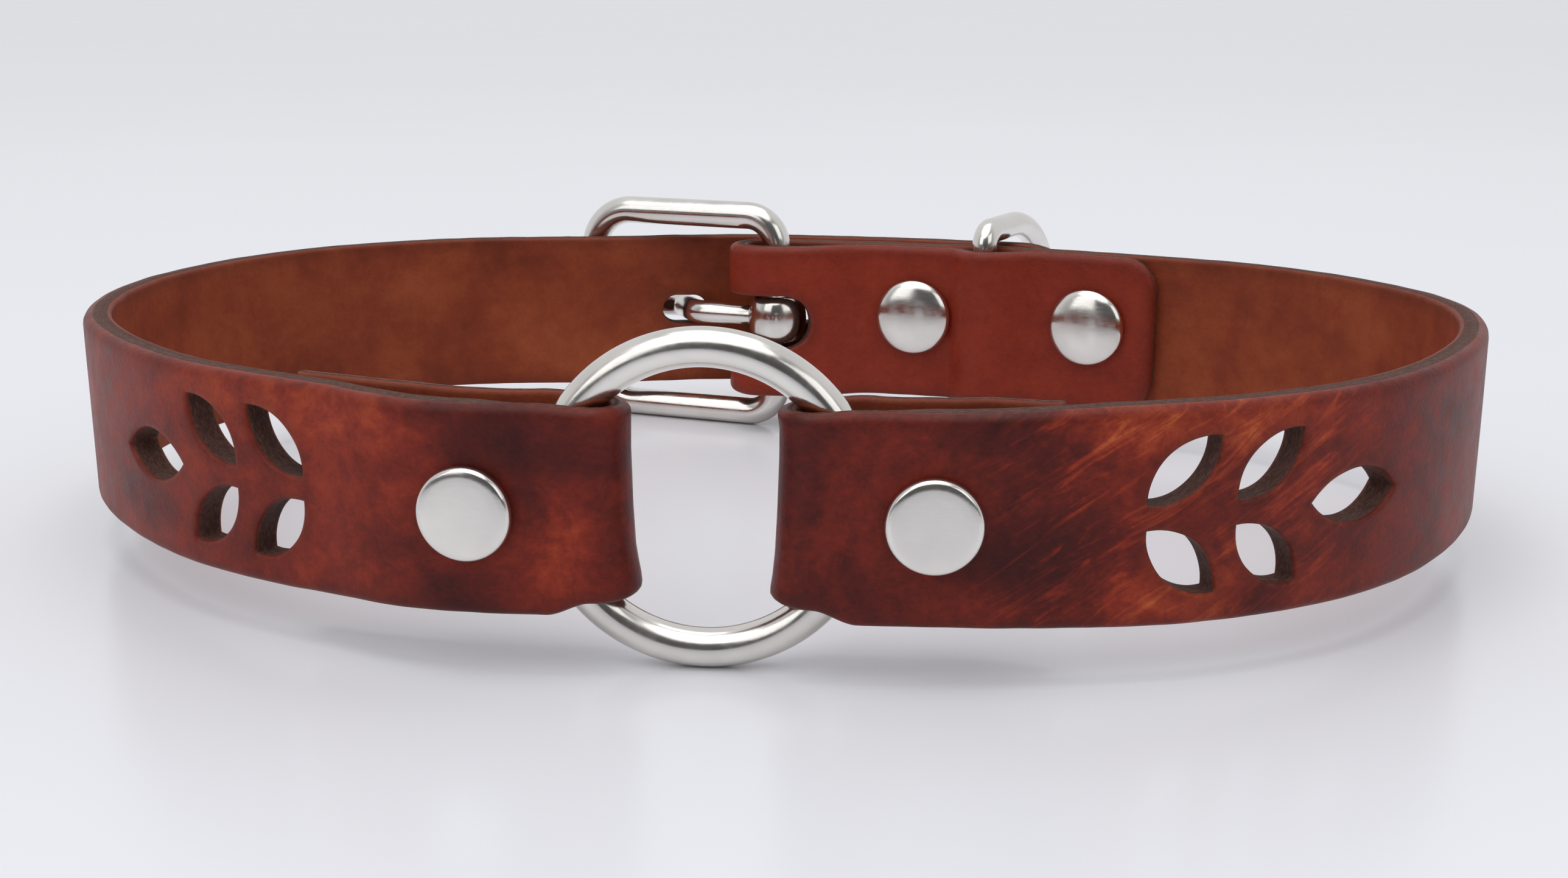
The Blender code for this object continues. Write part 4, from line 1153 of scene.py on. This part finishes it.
    cells = n.voronoi(n.scaled(moved, (1.0, 1.0, 1.0)), 2.6)
    creases = n.noise(moved, 0.9, 8.0, 0.72, 0.8)
    height = n.math("ADD", n.math("MULTIPLY", cells, -0.35), n.math("MULTIPLY", creases, 0.9))
    height = n.math("ADD", height, n.math("MULTIPLY", n.noise(moved, 6.0, 3.0, 0.6), 0.25))
    fibres = n.math("MULTIPLY", n.noise(n.scaled(flat, (1.0, 1.0, 1.6)), 3.2, 6.0, 0.8), 2.6)
    height = n.math("ADD", height, n.math("MULTIPLY", fibres, wall))
    n.link(n.bump(height, 0.00009, 0.55), n.shader.inputs["Normal"])
    return n.material


def metal_material(name, tint, scratch):
    """Polished nickel plate with fine handling scratches."""
    n = Nodes(name)
    at = n.add("ShaderNodeTexCoord").outputs["Object"]
    fine = n.noise(n.scaled(at, (1.0, 5.0, 1.0), 0.6), 900.0 * scratch, 4.0, 0.6)
    wide = n.noise(at, 260.0, 4.0, 0.55)
    n.link(n.ramp(wide, [(0.3, tuple(0.90 * c for c in tint)), (0.7, tint)]),
           n.shader.inputs["Base Color"])
    n.shader.inputs["Metallic"].default_value = 1.0
    rough = n.math("ADD", n.span(wide, 0.3, 0.7, 0.10, 0.20), n.span(fine, 0.4, 0.8, 0.0, 0.10))
    n.link(rough, n.shader.inputs["Roughness"])
    height = n.math("ADD", n.math("MULTIPLY", fine, 0.35), wide)
    n.link(n.bump(height, 0.00002, 0.35), n.shader.inputs["Normal"])
    return n.material


def floor_material():
    """Pale glossy table."""
    n = Nodes("table")
    at = n.add("ShaderNodeTexCoord").outputs["Object"]
    cloud = n.noise(at, 3.0, 3.0, 0.5)
    n.link(n.ramp(cloud, [(0.3, (0.78, 0.79, 0.83)), (0.7, (0.81, 0.82, 0.86))]),
           n.shader.inputs["Base Color"])
    n.link(n.span(cloud, 0.3, 0.7, 0.20, 0.26), n.shader.inputs["Roughness"])
    n.shader.inputs["Specular IOR Level"].default_value = 0.35
    return n.material


# The scene

def table():
    """Wide pale table, which fills the picture to its top."""
    verts = [(x, y, 0.0) for x, y in ((-TABLE_SIDE, -TABLE_FRONT), (TABLE_SIDE, -TABLE_FRONT),
                                      (TABLE_SIDE, TABLE_BACK), (-TABLE_SIDE, TABLE_BACK))]
    mesh = bpy.data.meshes.new("table")
    mesh.from_pydata(verts, [], [(0, 1, 2, 3)])
    mesh.materials.append(floor_material())
    thing = bpy.data.objects.new("table", mesh)
    bpy.context.scene.collection.objects.link(thing)


def area_light(name, at, towards, size, power, colour=(1.0, 1.0, 1.0)):
    """Soft rectangular light aimed at a point."""
    lamp = bpy.data.lights.new(name, "AREA")
    lamp.shape = "RECTANGLE"
    lamp.size, lamp.size_y = size
    lamp.energy = power
    lamp.color = colour
    thing = bpy.data.objects.new(name, lamp)
    bpy.context.scene.collection.objects.link(thing)
    thing.location = at
    aim = Vector(towards) - Vector(at)
    thing.rotation_euler = aim.to_track_quat("-Z", "Y").to_euler()


def sky_light(power, towards, angle):
    """Wide soft light from one side of the room's ceiling, even over the whole table."""
    lamp = bpy.data.lights.new("ceiling", "SUN")
    lamp.energy = power
    lamp.angle = math.radians(angle)
    thing = bpy.data.objects.new("ceiling", lamp)
    bpy.context.scene.collection.objects.link(thing)
    thing.rotation_euler = Vector(towards).to_track_quat("-Z", "Y").to_euler()


def surroundings():
    """Even pale room, darker behind the camera."""
    world = bpy.data.worlds.new("room")
    bpy.context.scene.world = world
    world.use_nodes = True
    tree = world.node_tree
    back = tree.nodes["Background"]
    coord = tree.nodes.new("ShaderNodeTexCoord")
    split = tree.nodes.new("ShaderNodeSeparateXYZ")
    tree.links.new(coord.outputs["Generated"], split.inputs[0])
    ramp = tree.nodes.new("ShaderNodeValToRGB")
    span = tree.nodes.new("ShaderNodeMapRange")
    span.inputs["From Min"].default_value = -1.0
    span.inputs["From Max"].default_value = 1.0
    tree.links.new(split.outputs["Y"], span.inputs["Value"])
    tree.links.new(span.outputs["Result"], ramp.inputs["Fac"])
    stops = [(0.0, 0.10), (0.18, 0.22), (0.45, 0.9), (1.0, 1.0)]
    elements = ramp.color_ramp.elements
    while len(elements) < len(stops):
        elements.new(0.5)
    for element, (at, value) in zip(elements, stops):
        element.position = at
        element.color = (value, value * 1.005, value * 1.03, 1.0)
    tree.links.new(ramp.outputs["Color"], back.inputs["Color"])
    back.inputs["Strength"].default_value = 0.76


def photo_camera(offset):
    """Camera where the photograph was taken from."""
    data = bpy.data.cameras.new("camera")
    data.sensor_fit = "HORIZONTAL"
    data.sensor_width = 36.0
    data.lens = 36.0 * 3080 / 2576
    data.clip_start = 0.005
    thing = bpy.data.objects.new("camera", data)
    bpy.context.scene.collection.objects.link(thing)
    thing.location = (2.0 * MM + offset[0], -194.0 * MM + offset[1],
                      35.23 * MM + STRAP_WIDTH / 2 + offset[2])
    thing.rotation_euler = (math.radians(90 - 14.48), 0.0, 0.0)
    bpy.context.scene.camera = thing


def main():
    """Dress the frame and set the scene."""
    hinge = next(j for j in frame["joints"] if j["name"] == "o_ring_turn")
    at = place(0.0, RING_OFFSET)
    offset = np.array((hinge["pos_m"][0] - at[0], hinge["pos_m"][1] - at[1],
                       hinge["pos_m"][2] - RING_RAISE))

    rows = split_flaps(right_strap_rows())
    lengths = path_lengths(rows)
    holes = [slot_hole(at, at, RIVET_HOLE) for at in
             [length_at(rows, lengths, layer, FRONT_RIVET_FROM_RING)
              for layer in ("outer", "front_flap")]]
    holes += [slot_hole(at, at, RIVET_HOLE, BACK_RIVET_RAISE) for at in
              [length_at(rows, lengths, layer, HEEL_AT - v)
               for v in (HEEL_RIVET_AT, FLAP_RIVET_AT) for layer in ("outer", "flap")]]
    slot_s = HEEL_AT - SLOT_PAST_HEEL + SLOT_HEIGHT / 2
    holes.append(slot_hole(length_at(rows, lengths, "outer", slot_s),
                           length_at(rows, lengths, "flap", slot_s), SLOT_HEIGHT))
    sprig = length_at(rows, lengths, "outer", SPRIG_FROM_RING[1])
    holes += [leaf_hole(sprig, row) for row in SPRIG_LEAVES]
    buckle_side = leather_strap("buckle_leather", rows, holes, 0, 1, offset)

    rows = split_flaps(left_strap_rows())
    lengths = path_lengths(rows)
    holes = [slot_hole(at, at, RIVET_HOLE) for at in
             [length_at(rows, lengths, layer, -FRONT_RIVET_FROM_RING)
              for layer in ("outer", "front_flap")]]
    sprig = length_at(rows, lengths, "outer", -SPRIG_FROM_RING[0])
    holes += [leaf_hole(sprig, row) for row in SPRIG_LEAVES]
    pin = length_at(rows, lengths, "outer", HEEL_AT - LOOP_LENGTH + PIN_HOLE_FROM_HEEL)
    run = (PIN_HOLE_LENGTH - PIN_HOLE_HEIGHT) / 2
    holes.append(slot_hole(pin - run, pin + run, PIN_HOLE_HEIGHT))
    for k in range(SPARE_HOLES):
        spare = pin + (k + 1) * SPARE_HOLE_PITCH
        holes.append(slot_hole(spare, spare, SPARE_HOLE))
    billet_side = leather_strap("billet_leather", rows, holes, 1, -1, offset)

    # the billet zones and patches also paint a vertical sheen beside the fold and a highlight
    # along the top
    billet_side.data.materials.append(leather_material(
        "billet_leather", BILLET_ZONES, BILLET_PATCHES, None, 40.0))
    buckle_side.data.materials.append(leather_material(
        "buckle_leather", BUCKLE_ZONES, BUCKLE_PATCHES, (20, 62), 310.0))
    for thing, node in ((billet_side, "billet_strap"), (buckle_side, "buckle_strap")):
        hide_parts(node)
        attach(thing, "collar")

    nickel = metal_material("nickel", (0.80, 0.77, 0.73), 1.0)
    for thing, node, body in hardware(offset):
        thing.data.materials.append(nickel)
        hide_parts(node)
        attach(thing, body)

    table()
    surroundings()
    sky_light(1.0, (0.15, 0.40, -1.0), 60.0)
    area_light("overhead", (0.0, 0.05, 0.75), (0.0, 0.0, 0.0), (0.5, 0.4), 0.8)
    area_light("front_left", (-0.55, -0.60, 0.45), (0.0, 0.0, 0.01), (0.5, 0.5), 0.9)
    area_light("front_right", (0.55, -0.60, 0.45), (0.0, 0.0, 0.01), (0.5, 0.5), 0.8)
    photo_camera(offset)
    bpy.context.scene.view_settings.view_transform = "Standard"


main()
